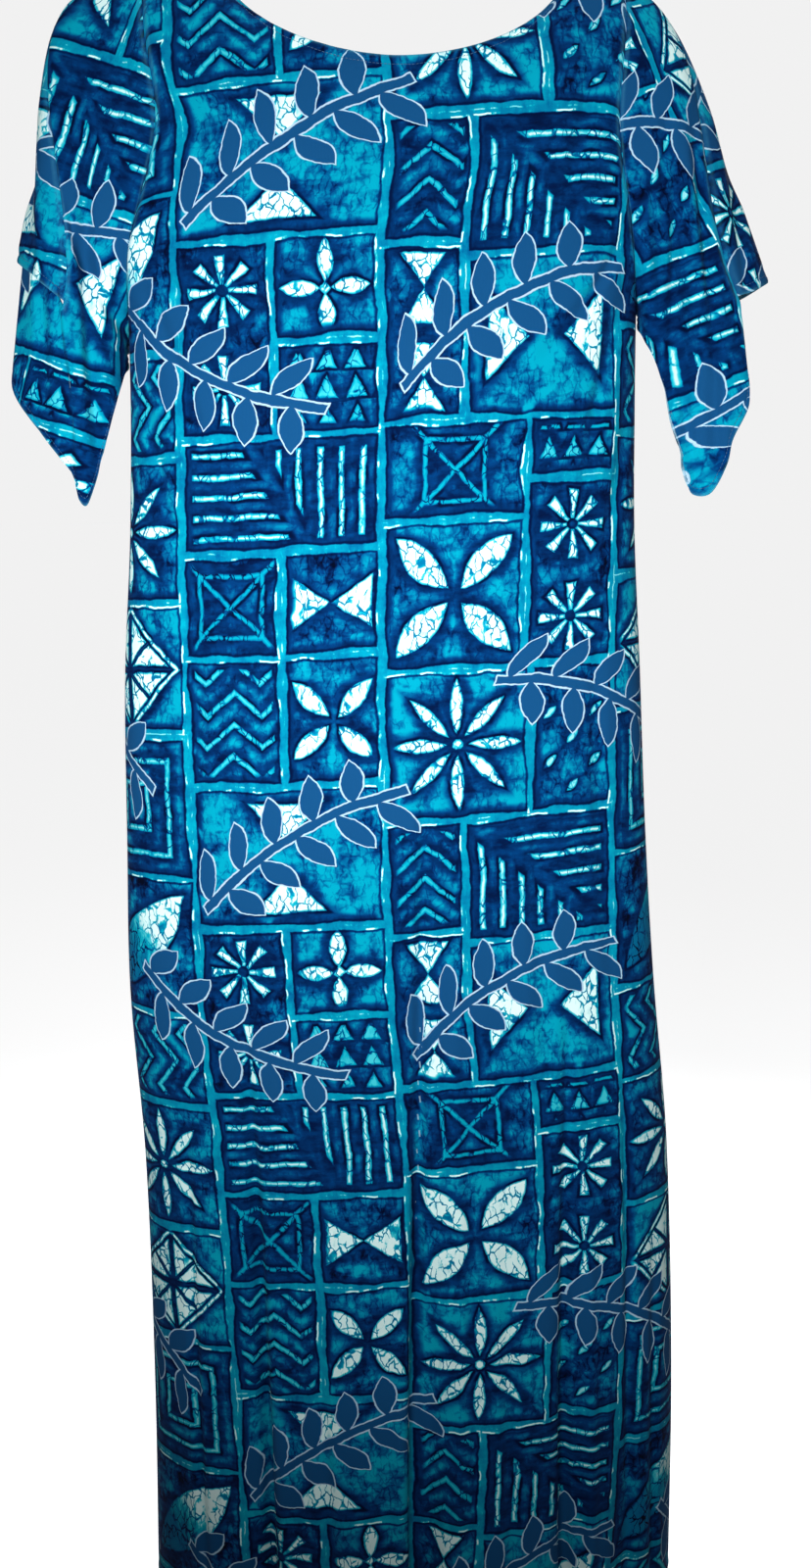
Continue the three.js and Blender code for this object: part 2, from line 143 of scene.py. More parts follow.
# %% The sky
world = bpy.data.worlds.new("studio")
world.use_nodes = True
sky_nodes, sky_links = world.node_tree.nodes, world.node_tree.links
soft = sky_nodes["Background"]
seen = sky_nodes.new("ShaderNodeBackground")
path = sky_nodes.new("ShaderNodeLightPath")
for background, strength in ((soft, SKY_LIGHT), (seen, SKY_SEEN)):
    background.inputs["Color"].default_value = (1, 1, 1, 1)
    background.inputs["Strength"].default_value = strength
sky = sky_nodes.new("ShaderNodeMixShader")
sky_links.new(path.outputs["Is Camera Ray"], sky.inputs[0])
sky_links.new(soft.outputs[0], sky.inputs[1])
sky_links.new(seen.outputs[0], sky.inputs[2])
sky_links.new(sky.outputs[0], sky_nodes["World Output"].inputs["Surface"])
bpy.context.scene.world = world
bpy.context.scene.view_settings.view_transform = "Standard"
print("sky seen at", SKY_SEEN, "and lighting at", SKY_LIGHT)

# %% [markdown]
# The cloth follows the same few sizes as its solids, all in millimetres: sections of the body, the line
# of the shoulders, the neckline, the armholes and the sleeves. A short table with named columns is easy
# to read and to change. Modelling tools could pull such a shape from a box, but worked-out sections keep
# both sides of every seam on the same line.


# %% Sizes of the body
def table(columns, *rows):
    """One named record for each row."""
    names = columns.split()
    return [dict(zip(names, row)) for row in rows]


SECTIONS = table(
    "z right left front back",
    (-250, -220.4, 198, 74, 66),
    (-340, -224, 197, 73, 65),
    (-440, -231, 197, 69, 66),
    (-560, -243, 202, 70, 74),
    (-700, -250, 207, 75, 83),
    (-840, -256, 215, 79, 87),
    (-1000, -252, 228, 83, 91),
    (-1230, -257, 234, 89, 96),
    (-1465, -267, 232, 95, 101),
)
ROUNDNESS = 2.3
HEM = {"right": -1446, "left": -1463}
SHOULDER_LINE = table("x z", (-195, 3), (-134, 10), (143, -3), (188, -12))
SHOULDER = {"right": SHOULDER_LINE[0], "left": SHOULDER_LINE[3]}
NECK_DROP = {"front": 77, "back": 55}
NECK_REACH = {"front": 48, "back": 40}
NECK_ROUNDNESS = 1.85
SHOULDER_BEND = 2
NECK_BEND = 1.25
ARMHOLE_DEPTH = 42
ARMPIT = {"right": -264, "left": -250}
ARMHOLE_SEAM = {
    "right": table("up x", (0, -221), (0.22, -213), (0.37, -199), (0.57, -185), (0.8, -191), (1, -195)),
    "left": table("up x", (0, 198), (0.25, 189), (0.45, 181), (0.6, 181), (0.8, 186), (1, 188)),
}
FACING = {"front": -1, "back": 1}
OUTWARD = {"right": -1, "left": 1}
print("dress is", SECTIONS[-1]["left"] - SECTIONS[-1]["right"], "mm wide at the hem")

# %% Hanging folds of the skirt
FOLD_GROWTH = 1.3
FOLDS = {
    "front": table(
        "x half depth start",
        (-212, 30, -5, -1000),
        (-157, 25, 12, -880),
        (-82, 46, -6, -900),
        (-6, 24, 18, -840),
        (62, 42, -7, -940),
        (127, 23, 14, -920),
        (181, 20, 8, -1040),
    ),
    "back": table(
        "x half depth start",
        (-190, 27, 10, -980),
        (-128, 36, -7, -930),
        (-68, 25, 16, -850),
        (8, 44, -6, -960),
        (79, 26, 13, -900),
        (146, 32, -6, -1000),
        (194, 19, 8, -1060),
    ),
}
print({face: len(folds) for face, folds in FOLDS.items()}, "hanging folds")

# %% Sizes of the sleeves
UNDERARM_SLOPE = 83
BACK_REACH_FROM = 0.15
SLEEVES = {
    "right": {
        "cuff": {"x": -268, "half_width": 42.5, "half_depth": 50, "outer": -216, "inner": -288, "corner": 1},
        "seam_angle": 92,
        "wrap_angle": -8,
        "cap_slope": 0,
        "cap_reach": 1.5,
        "back_reach": 1.62,
        "flare": 0.3,
        "folds": table("angle half depth", (118, 26, 4), (30, 24, 3), (-70, 34, 5), (-128, 26, 4)),
        "point": table(
            "around x y z",
            (0, -318, -6, -292),
            (0.15, -316, -26, -318),
            (0.32, -293, -42, -351),
            (0.47, -269, -51, -384),
            (0.54, -263, -54, -405),
            (0.6, -256, -54, -409),
            (0.7, -244, -50, -376),
            (0.85, -232, -37, -332),
            (0.95, -227, -15, -306),
            (1, -225.5, 0, -300),
        ),
    },
    "left": {
        "cuff": {"x": 255, "half_width": 54, "half_depth": 47, "outer": -249, "inner": -268, "corner": 4},
        "seam_angle": 66,
        "wrap_angle": 66,
        "cap_slope": 24,
        "cap_reach": 1,
        "back_reach": 1.3,
        "flare": 0.5,
        "folds": table("angle half depth", (96, 22, -4), (128, 24, 6), (-34, 30, 4), (-104, 32, 5)),
        "point": table(
            "around x y z",
            (0, 284, -44, -324),
            (0.15, 284, -47, -346),
            (0.3, 271, -50, -372),
            (0.42, 266, -52, -392),
            (0.52, 253, -54, -414),
            (0.6, 239, -53, -415),
            (0.66, 234, -51, -406),
            (0.78, 225, -44, -364),
            (0.9, 213, -27, -314),
            (0.97, 204, -10, -286),
            (1, 201.5, 0, -280),
        ),
    },
}
print({side: len(sleeve["point"]) for side, sleeve in SLEEVES.items()}, "stations along the sleeve points")


# %% Reading between the rows of a table
def mix(start, end, share):
    """From start to end by a share from 0 to 1."""
    return start + (end - start) * share


def hermite(start, leave, end, arrive, t):
    """A smooth curve that leaves start and arrives at end in the given directions."""
    return (
        start * (2 * t**3 - 3 * t**2 + 1)
        + leave * (t**3 - 2 * t**2 + t)
        + end * (3 * t**2 - 2 * t**3)
        + arrive * (t**3 - t**2)
    )


def read(rows, by, column, at):
    """A column of a table at any places between its rows, on a smooth curve through them."""
    rows = sorted(rows, key=lambda row: row[by])
    places = np.array([row[by] for row in rows], float)
    values = np.array([row[column] for row in rows], float)
    last = len(rows) - 1
    i = np.clip(np.searchsorted(places, at) - 1, 0, last - 1)

    def slope(a, b):
        return (values[b] - values[a]) / (places[b] - places[a])

    span = places[i + 1] - places[i]
    t = np.clip((at - places[i]) / span, 0, 1)
    leave = slope(np.maximum(i - 1, 0), i + 1) * span
    arrive = slope(i, np.minimum(i + 2, last)) * span
    return hermite(values[i], leave, values[i + 1], arrive, t)


def groove(distance, half):
    """1 on a fold's middle line, falling in a round curve to 0 at its feet."""
    return np.cos(np.clip(np.abs(distance) / half, 0, 1) * math.pi / 2) ** 2


def unit(vectors):
    return vectors / np.maximum(np.linalg.norm(vectors, axis=-1, keepdims=True), 1e-9)


print("half width at the hips:", read(SECTIONS, "z", "left", np.array([-840.0])))


# %% The armhole seam
def armhole(side, facing, up):
    """Points on the seam, from the armpit (0) to the shoulder (1), and the way into the cloth there."""
    round_out = np.sqrt(np.maximum(0, 1 - (2 * up - 1) ** 2))
    height = SHOULDER[side]["z"] - ARMPIT[side]
    x = read(ARMHOLE_SEAM[side], "up", "x", up)
    points = np.stack([x, facing * ARMHOLE_DEPTH * round_out, ARMPIT[side] + height * up], -1)
    into = np.stack([0 * up, -facing * round_out / ARMHOLE_DEPTH, -2 * (2 * up - 1) / height], -1)
    return points, unit(into)


def oval(across):
    """Depth of the body's oval, as a share of its greatest depth."""
    return np.maximum(0, 1 - np.abs(across) ** ROUNDNESS) ** (1 / ROUNDNESS)


# %% [markdown]
# Above the armpits the panel rises to the shoulders and the neckline. Below them it is a level oval whose
# folds deepen towards the hem. A grid of rows and columns gives neat faces that follow the threads.


# %% The two body panels
def chest_surface(face, across, up):
    """Points above the armpits. across runs from -1 to 1, and up from the armpits (0) to the top (1)."""
    share = (across + 1) / 2
    x = mix(
        read(ARMHOLE_SEAM["right"], "up", "x", up),
        read(ARMHOLE_SEAM["left"], "up", "x", up),
        share,
    )
    top_x = mix(SHOULDER["right"]["x"], SHOULDER["left"]["x"], share)
    neck_right, neck_left = SHOULDER_LINE[1]["x"], SHOULDER_LINE[2]["x"]
    neck = np.clip((2 * top_x - neck_right - neck_left) / (neck_left - neck_right), -1, 1)
    dip = (1 - np.abs(neck) ** NECK_ROUNDNESS) ** (1 / NECK_ROUNDNESS)
    line = np.interp(top_x, [p["x"] for p in SHOULDER_LINE], [p["z"] for p in SHOULDER_LINE])
    z = mix(mix(ARMPIT["right"], ARMPIT["left"], share), line - NECK_DROP[face] * dip, up)
    chest = SECTIONS[0][face]
    cut = oval(2 * ARMHOLE_DEPTH / chest * np.sqrt(up / (1 + up)))
    top_cut = oval(2 * ARMHOLE_DEPTH / chest * np.sqrt(1 / 2))
    rim = NECK_REACH[face] * np.sqrt(1 - neck**2) / np.maximum(oval(across * top_cut), 1e-6)
    bend = mix(NECK_BEND, SHOULDER_BEND, neck**2)
    forward = mix(rim, chest, np.maximum(0, 1 - up**bend) ** (1 / bend))
    return np.stack([x, FACING[face] * forward * oval(across * cut), z], -1)


def skirt_surface(face, across, down):
    """Points below the armpits, with the hanging folds. down runs from the armpits (0) to the hem (1)."""
    share = (across + 1) / 2
    top = mix(ARMPIT["right"], ARMPIT["left"], share)
    z = mix(top, mix(HEM["right"], HEM["left"], share), down)
    right = read(SECTIONS, "z", "right", z)
    left = read(SECTIONS, "z", "left", z)
    reach = read(SECTIONS, "z", face, z)
    half = (left - right) / 2
    depth = reach * oval(across)
    hem_x = mix(SECTIONS[-1]["right"], SECTIONS[-1]["left"], share)
    fold_depth = 0
    for fold in FOLDS[face]:
        grown = np.maximum(0, (fold["start"] - z) / (fold["start"] - HEM["right"])) ** FOLD_GROWTH
        fold_depth = fold_depth + fold["depth"] * grown * groove(hem_x - fold["x"], fold["half"])
    way = unit(np.stack([across / half, depth / reach**2], -1))
    x = (left + right) / 2 + half * across - way[..., 0] * fold_depth
    y = np.maximum(depth - way[..., 1] * fold_depth, 0)
    return np.stack([x, FACING[face] * y, z], -1)


print("the front reaches", round(-skirt_surface("front", 0.0, 0.5)[1]), "mm forward halfway down")

# %% [markdown]
# A sleeve is a short tube, sewn round the armhole and left open at the cuff. Sweeping a circle along an
# arm would miss both: the seam leans, and the cuff is a lopsided ring with folds of its own. So each
# point runs on a curve that leaves its place on the seam the way the shoulder slopes and arrives at its
# place on the cuff.


# %% The sleeves
def cuff_points(side, angle):
    """Points of the cuff's folded ring. The angle is 0 on the outer side, 90 in front and 180 inside."""
    sleeve = SLEEVES[side]
    cuff = sleeve["cuff"]
    fold = sum(row["depth"] * groove(angle - row["angle"], row["half"]) for row in sleeve["folds"])
    turn = np.radians(angle)
    x = cuff["x"] + OUTWARD[side] * (cuff["half_width"] - fold) * np.cos(turn)
    y = -(cuff["half_depth"] - fold) * np.sin(turn)
    share = (OUTWARD[side] * (x - cuff["x"]) + cuff["half_width"]) / (2 * cuff["half_width"])
    z = mix(cuff["inner"], cuff["outer"], np.clip(share, 0, 1) ** cuff["corner"])
    return np.stack([x, y, z], -1)


def sleeve_surface(side, ring, down):
    """Points of a sleeve. ring runs from the overarm seam (0) round the front (1) or the back (-1)."""
    sleeve = SLEEVES[side]
    turn = np.abs(ring)
    facing = np.where(ring < 0, 1, -1)
    start, _ = armhole(side, facing, (1 + np.cos(math.pi * turn)) / 2)
    end = cuff_points(side, mix(sleeve["seam_angle"], np.where(ring < 0, -180, 180), turn))
    length = np.linalg.norm(end - start, axis=-1)
    slope = np.radians(mix(sleeve["cap_slope"], UNDERARM_SLOPE, turn))
    behind = np.where(ring < 0, np.minimum(turn / BACK_REACH_FROM, 1), 0)
    pull = length * mix(mix(sleeve["cap_reach"], sleeve["back_reach"], behind), 1, turn)
    level = np.zeros_like(turn)
    leave = np.stack([OUTWARD[side] * np.cos(slope), level, -np.sin(slope)], -1) * pull[..., None]
    out = OUTWARD[side] * sleeve["flare"] * (1 - turn)
    arrive = np.stack([out, level, level - 1], -1) * length[..., None]
    return hermite(start, leave, end, arrive, down[..., None])


print("the left cuff's front is at", cuff_points("left", 90.0).round())


# %% [markdown]
# A length of cloth is flat before it is sewn. Every point of a panel keeps its place on that flat cloth,
# so that the print runs along the threads and is squeezed where the cloth turns away. It is found by
# adding up the steps from point to point: down each column, and across each row at right angles to the
# columns.


# %% Places on the flat cloth
def flat_places(points, zero_row, zero_column, zero_height=0.0):
    """Width and height on the flat cloth, in mm, of each point of a grid."""
    along = np.gradient(points, axis=0)
    thread = unit(along)
    steps = np.diff(points, axis=1)
    middle = unit(thread[:, 1:] + thread[:, :-1])
    sideways = np.linalg.norm(steps - (steps * middle).sum(-1, keepdims=True) * middle, axis=-1)
    width = np.concatenate([np.zeros((len(points), 1)), np.cumsum(sideways, axis=1)], axis=1)
    width -= width[:, zero_column : zero_column + 1]
    rise = np.linalg.norm(np.diff(points, axis=0), axis=-1)
    height = np.concatenate([np.zeros((1, points.shape[1])), np.cumsum(rise, axis=0)], axis=0)
    height -= height[zero_row : zero_row + 1]
    return np.stack([width, height + zero_height], -1)


print("flat places are counted in mm from one point of each panel")

# %% [markdown]
# Between its big folds, hanging cloth is never smooth: sharper creases run down inside the folds, drag
# from the armholes and crumple the sleeves. A cloth simulation makes creases of its own choosing, so
# these are listed one row each: where the crease starts and ends as seen from the front, its
# half width, its depth and its bow, in mm. They are uneven on purpose. A negative depth is a ridge.

# %% Creases listed one by one
CREASE_COLUMNS = "x z end_x end_z half depth bow"
CREASES = {
    "front": table(
        CREASE_COLUMNS,
        (16, -600, -20, -1660, 9, 9.5, 5),
        (34, -820, 20, -1600, 10, -4, -4),
        (-2, -900, -40, -1580, 9, -2.5, 3),
        (-149, -800, -154, -1640, 8, 8.5, -5),
        (-131, -960, -130, -1580, 10, -3.5, 4),
        (133, -840, 126, -1660, 8, 8.5, 4),
        (149, -1000, 146, -1560, 9, -3, -3),
        (182, -900, 184, -1460, 7, 5, -4),
        (-205, -940, -208, -1520, 7, 5, 4),
        (212, -1060, 214, -1660, 7, 4.5, 1),
        (-92, -980, -82, -1600, 11, 4, 6),
        (72, -1020, 64, -1640, 12, 4, -7),
        (-56, -680, -48, -1100, 15, 2.6, 6),
        (98, -600, 110, -980, 14, 2.6, -5),
        (-176, -400, -190, -840, 12, 2.4, -6),
        (160, -520, 176, -860, 11, 2, 6),
        (-202, -196, -122, -300, 8, 3.8, 8),
        (-207, -232, -156, -392, 10, 3.2, -7),
        (-210, -290, -176, -480, 9, 2.2, 5),
        (184, -208, 110, -306, 8, 3.8, -7),
        (189, -242, 150, -412, 10, 3, 6),
        (190, -310, 164, -470, 9, 2, -4),
        (-168, -46, -126, -200, 12, 2.2, 5),
        (158, -56, 126, -210, 11, 2.2, -6),
        (-70, -326, 64, -350, 15, 1.8, 8),
        (-30, -520, 90, -560, 17, 1.6, -8),
    ),
    "back": table(
        CREASE_COLUMNS,
        (-60, -660, -70, -1660, 9, 9, -5),
        (-42, -880, -48, -1580, 10, -3.5, 4),
        (85, -720, 79, -1640, 8, 8, 5),
        (100, -960, 96, -1560, 9, -3, -3),
        (-187, -860, -191, -1640, 8, 6.5, 3),
        (196, -940, 194, -1600, 7, 5, -3),
        (13, -980, 4, -1600, 12, 4, -6),
        (-126, -1040, -132, -1600, 11, 3.6, 5),
        (142, -620, 151, -1140, 13, 3, 5),
        (-16, -520, -30, -980, 15, 2.6, -7),
        (-168, -460, -182, -820, 11, 2.2, 5),
        (-202, -200, -130, -326, 8, 3.8, 7),
        (-206, -250, -166, -434, 10, 3, -6),
        (187, -210, 120, -334, 8, 3.6, -7),
        (189, -262, 154, -440, 10, 2.8, 5),
        (-72, -148, 80, -170, 14, 2.4, -10),
        (-50, -210, 70, -222, 15, 1.6, -8),
        (-154, -60, -106, -202, 12, 2.2, 5),
        (148, -64, 106, -198, 12, 2, -5),
    ),
    "sleeve_front_right": table(
        CREASE_COLUMNS,
        (-243, -120, -243, -440, 9, 6.5, 4),
        (-264, -165, -212, -290, 8, 4.5, 6),
        (-288, -150, -292, -360, 9, 4, -4),
        (-222, -110, -205, -222, 7, 2.2, -3),
        (-262, -270, -268, -430, 8, 3.6, 3),
    ),
    "sleeve_back_right": table(
        CREASE_COLUMNS,
        (-284, -100, -292, -300, 9, 3.2, 4),
        (-250, -120, -246, -330, 10, 3.4, -5),
        (-220, -140, -208, -300, 8, 2.4, 4),
    ),
    "sleeve_front_left": table(
        CREASE_COLUMNS,
        (218, -110, 219, -350, 8, 7, 3),
        (205, -160, 210, -320, 6, 4, -3),
        (238, -120, 257, -400, 9, 6, -5),
        (262, -100, 279, -280, 8, 4, 4),
        (229, -250, 246, -430, 9, 4, 5),
    ),
    "sleeve_back_left": table(
        CREASE_COLUMNS,
        (232, -100, 240, -310, 10, 3.6, 4),
        (262, -90, 284, -300, 9, 3.2, -5),
        (212, -150, 208, -300, 8, 2.4, -3),
    ),
}


def crease_depth(rows, x, z):
    """How far in the creases take the cloth at x and z. Each fades out towards both its ends."""
    total = 0
    for row in rows:
        run_x, run_z = row["end_x"] - row["x"], row["end_z"] - row["z"]
        length = math.hypot(run_x, run_z)
        along = np.clip(((x - row["x"]) * run_x + (z - row["z"]) * run_z) / length**2, 0, 1)
        off = ((x - row["x"]) * run_z - (z - row["z"]) * run_x) / length
        off = off - row["bow"] * 4 * along * (1 - along)
        total = total + row["depth"] * np.sin(math.pi * along) ** 0.7 * groove(off, row["half"])
    return total


print({name: len(rows) for name, rows in CREASES.items()}, "creases")

# %% [markdown]
# Where two pieces are sewn, the cloth rises out of the seam on both sides, and inside lie the two turned
# edges. A neckline, cuff or hem is folded under and stitched: its fold is round, the cloth sinks and
# puckers a little at the stitches, and the inside steps back where the fold under ends. All of these
# follow from two lengths, to the nearest seam and to the nearest free edge, so a few lines of arithmetic
# do them all.

# %% Seams and turned edges
CLOTH = 0.9
LAYER = 0.8
SEAM_RISE = 1.1
SEAM_ROUND = 2.2
SEAM_TURNED = 10
SEAM_STEP = 0.8
CREASE_FREE = (1, 14)
BAND = {"neck": 9, "hem": 22, "cuff": 8}
BAND_LAYERS = 1.4
BAND_STEP = (0.9, -0.6)
FOLD_ROUND = 0.55
FOLD_REACH = 0.9
STITCH_INSET = 1.5
STITCH_SINK = 0.5
STITCH_GROOVE = 2.2
PUCKER = 0.3
PUCKER_REACH = 6
PUCKER_WAVES = table("across up shift", (2.6, 3.3, 0), (4.3, -2.9, 1.2))
# Reach of the paler mark: abrasion and a painted highlight on the folded edges, and a painted highlight on
# the ridge beside each seam.
WEAR_AND_HIGHLIGHT_REACH = 1.6
SEAM_HIGHLIGHT_AT = 2.4
SEAM_HIGHLIGHT = 0.4
FAR = 1000.0


def ramp(value, start, end):
    """0 at start, 1 at end and smooth between."""
    share = np.clip((value - start) / (end - start), 0, 1)
    return share * share * (3 - 2 * share)


def bell(distance, reach):
    """1 at no distance, falling to nearly 0 at twice the reach."""
    return np.exp(-((distance / reach) ** 2))


def from_edge(points, axis, first=True):
    """Length along the columns (axis 0) or the rows (axis 1) from their first or last point, in mm."""
    steps = np.linalg.norm(np.diff(points, axis=axis), axis=-1)
    run = np.insert(np.cumsum(steps, axis=axis), 0, 0, axis=axis)
    return run if first else run.max(axis=axis, keepdims=True) - run


def outward(points):
    """Unit vectors out of a half tube whose middle line lies on y = 0."""
    facing = unit(np.cross(np.gradient(points, axis=1), np.gradient(points, axis=0)))
    middle = points.mean(axis=(0, 1)) * (1, 0, 1)
    return facing * np.sign((facing * (points - middle)).sum())


def worked(name, points, seam, free, band):
    """The points as creased, sewn and turned, the thickness there and the paler mark on the cloth: abrasion
    on its folded edges and a painted highlight there and beside the seams.
    """
    x, z = points[..., 0], points[..., 2]
    sunk = crease_depth(CREASES[name], x, z) * ramp(seam, *CREASE_FREE)
    sunk = sunk - SEAM_RISE * (1 - bell(seam, SEAM_ROUND))
    sunk = sunk + FOLD_ROUND * bell(free, FOLD_REACH)
    sunk = sunk + STITCH_SINK * groove(free - band + STITCH_INSET, STITCH_GROOVE)
    ripple = sum(np.sin(x / wave["across"] + z / wave["up"] + wave["shift"]) for wave in PUCKER_WAVES)
    sunk = sunk + PUCKER * ripple * bell(free - band, PUCKER_REACH) * ramp(seam, *CREASE_FREE)
    under_seam = ramp(seam, SEAM_TURNED + SEAM_STEP, SEAM_TURNED - SEAM_STEP)
    under_band = ramp(free, band + BAND_STEP[0], band + BAND_STEP[1])
    thickness = CLOTH + LAYER * np.maximum(under_seam, BAND_LAYERS * under_band)
    # The paler mark: abrasion and painted highlight on the folded edges, and a painted highlight beside each
    # seam.
    wear_and_highlight = np.maximum(bell(free, WEAR_AND_HIGHLIGHT_REACH), SEAM_HIGHLIGHT * bell(seam - SEAM_HIGHLIGHT_AT, WEAR_AND_HIGHLIGHT_REACH))
    return points - outward(points) * sunk[..., None], thickness, wear_and_highlight


print("bands:", BAND)

# %% [markdown]
# The hems are stitched by machine. A bump would only hint at the thread, and there are few enough
# stitches to make each one: a short spindle of six sides, half sunk in the cloth, with a small gap to the
# next.

# %% Rows of stitches
STITCH_PITCH = 3.1
STITCH_LENGTH = 2.4
THREAD_THICK = 0.55
SPINDLE = table("along size", (-0.5, 0.3), (-0.36, 0.85), (0, 1), (0.36, 0.85), (0.5, 0.3))
SPINDLE_SIDES = 6


def line_at(points, run, at, columns):
    """The line that crosses these columns at one length from an edge."""
    line = []
    for column in columns:
        order = np.argsort(run[:, column])
        rising = run[order, column]
        line.append([np.interp(at, rising, points[order, column, axis]) for axis in range(3)])
    return np.array(line)


def stitches(path, way):
    """Spindles along a path, as points and faces."""
    run = np.concatenate([[0], np.cumsum(np.linalg.norm(np.diff(path, axis=0), axis=-1))])
    at = np.arange(STITCH_PITCH / 2, run[-1], STITCH_PITCH)

    def between(values):
        return np.stack([np.interp(at, run, values[:, axis]) for axis in range(3)], -1)[:, None, None]

    middle = between(path)
    along = unit(between(np.gradient(path, axis=0)))
    out = unit(between(way))
    beside = np.cross(along, out)
    turn = np.arange(SPINDLE_SIDES) * 2 * math.pi / SPINDLE_SIDES
    ring = beside * np.cos(turn)[:, None] + out * np.sin(turn)[:, None]
    reach = np.array([row["along"] for row in SPINDLE])[:, None, None] * STITCH_LENGTH
    size = np.array([row["size"] for row in SPINDLE])[:, None, None] * THREAD_THICK / 2
    points = (middle + along * reach + ring * size).reshape(-1, 3)
    each = len(SPINDLE) * SPINDLE_SIDES
    index = np.arange(each).reshape(len(SPINDLE), SPINDLE_SIDES)
    after = np.roll(index, -1, axis=1)
    sides = np.stack([index[:-1], after[:-1], after[1:], index[1:]], -1).reshape(-1, 4).tolist()
    one = sides + [index[0, ::-1].tolist(), index[-1].tolist()]
    firsts = range(0, each * len(at), each)
    return points, [[first + corner for corner in face] for first in firsts for face in one]


print("stitches every", STITCH_PITCH, "mm")

# %% [markdown]
# A single sheet of faces has no thickness and no inside. Each piece is therefore a closed shell: an outer
# face, an inner face a little under a millimetre behind it, and a rim round its free edges. The Solidify
# modifier does this too, but it can't keep the two sides of a seam on one line.

# %% A shell of cloth
SHARP_ANGLE = math.radians(60)


def cloth_shell(name, points, quads, flat, into, thickness, wear_and_highlight, sewing):
    """A closed shell with its stitches. into gives the way in, by point number, where a seam fixes it."""
    a, b, c, d = (points[quads[:, k]] for k in range(4))
    facing = np.cross(c - a, d - b)
    normals = np.zeros_like(points)
    for k in range(4):
        np.add.at(normals, quads[:, k], facing)
    way = -unit(normals)
    for index, direction in into:
        way[index] = direction
    count = len(points)
    inside = points + way * thickness[:, None]
    starts = quads.ravel()
    ends = np.roll(quads, -1, axis=1).ravel()
    paired = np.isin(starts * count + ends, ends * count + starts)
    rim_start, rim_end = starts[~paired], ends[~paired]
    rim = np.stack([rim_end, rim_start, rim_start + count, rim_end + count], -1)
    faces = np.concatenate([quads, quads[:, ::-1] + count, rim]).tolist()
    places = np.concatenate([flat, flat])
    both_sides_wear_and_highlight = np.concatenate([wear_and_highlight, wear_and_highlight])
    everything = [points, inside]
    cloth_faces = len(faces)
    for thread_points, thread_faces in sewing:
        start = sum(len(part) for part in everything)
        everything.append(thread_points)
        faces += [[corner + start for corner in face] for face in thread_faces]
        places = np.concatenate([places, np.zeros((len(thread_points), 2))])
        both_sides_wear_and_highlight = np.concatenate([both_sides_wear_and_highlight, np.zeros(len(thread_points))])
    mesh = bpy.data.meshes.new(name)
    mesh.from_pydata((np.concatenate(everything) * MM).tolist(), [], faces)
    mesh.polygons.foreach_set("use_smooth", np.ones(len(faces), bool))
    runs = [len(quads), len(quads), len(rim), len(faces) - cloth_faces]
    mesh.polygons.foreach_set("material_index", np.repeat([0, 1, 0, 2], runs))
    # The paler mark of abrasion and painted highlight, carried to the material.
    mesh.attributes.new("wear_and_highlight", "FLOAT", "POINT").data.foreach_set("value", both_sides_wear_and_highlight)
    corners = np.zeros(len(mesh.loops), np.int32)
    mesh.loops.foreach_get("vertex_index", corners)
    places = places[corners] * MM
    mesh.uv_layers.new(name="flat cloth").data.foreach_set("uv", places.ravel())
    mesh.set_sharp_from_angle(angle=SHARP_ANGLE)
    mesh.validate()
    piece = bpy.data.objects.new(name, mesh)
    bpy.context.collection.objects.link(piece)
    return piece


def grid_quads(index, reverse):
    """Faces of a grid of point numbers, in the order that faces out."""
    quads = np.stack([index[:-1, :-1], index[:-1, 1:], index[1:, 1:], index[1:, :-1]], -1).reshape(-1, 4)
    return quads[:, ::-1] if reverse else quads


print("cloth", CLOTH, "mm thick, and", round(CLOTH + LAYER, 2), "mm where a seam is turned")

# %% [markdown]
# A sharp crease or a turned edge needs points a millimetre or two apart, and a smooth stretch of cloth
# needs few. Subdividing everything would spend most faces where nothing happens. So the rows draw
# together at the hem, the armpits and the top, and the columns at the side seams, where the cloth turns
# away.

# %% Rows and columns, closer together near the edges
PANEL_COLUMNS = 220
COLUMNS_DRAWN = 0.25
ARMHOLE_ROWS = 64
BODY_WIDTH, BODY_DEPTH = 235, 85
TURN_STEPS = 4000
SKIRT_LENGTH = 1190
HEM_ROW_GAP = 1.1
HEM_ROWS = 23
WIDEST_ROW_GAP = 16
UPPER_ROW_GAP = 6.5
UPPER_FROM = 900
GAP_GROWTH = 1.2
GAP_SHRINK = 0.8


def drawn_to_ends(count, share):
    """Places from 0 to 1, closer together at both ends."""
    even = np.linspace(0, 1, count + 1)
    return even - share * np.sin(2 * math.pi * even) / (2 * math.pi)


def squared_off(way):
    """A sine or cosine drawn out to the body's oval."""
    return np.sign(way) * np.abs(way) ** (2 / ROUNDNESS)


column_turn = math.pi * (np.linspace(0, 1, TURN_STEPS) - 0.5)
oval_x = squared_off(np.sin(column_turn))
oval_y = squared_off(np.cos(column_turn))
steps_x = np.diff(oval_x, prepend=-1) * BODY_WIDTH
steps_y = np.diff(oval_y, prepend=0) * BODY_DEPTH
oval_run = np.cumsum(np.hypot(steps_x, steps_y))
panel_across = np.interp(drawn_to_ends(PANEL_COLUMNS, COLUMNS_DRAWN) * oval_run[-1], oval_run, oval_x)
panel_across[[0, -1]] = -1, 1
row_gaps = [HEM_ROW_GAP] * HEM_ROWS
while sum(row_gaps) < SKIRT_LENGTH:
    widest = WIDEST_ROW_GAP if sum(row_gaps) < UPPER_FROM else UPPER_ROW_GAP
    row_gaps.append(min(row_gaps[-1] * GAP_GROWTH, max(widest, row_gaps[-1] * GAP_SHRINK)))
skirt_down = 1 - np.cumsum([0] + row_gaps[:-1]) / sum(row_gaps)
SKIRT_ROWS = len(skirt_down)
armhole_up = (1 - np.cos(math.pi * np.arange(ARMHOLE_ROWS + 1) / ARMHOLE_ROWS)) / 2
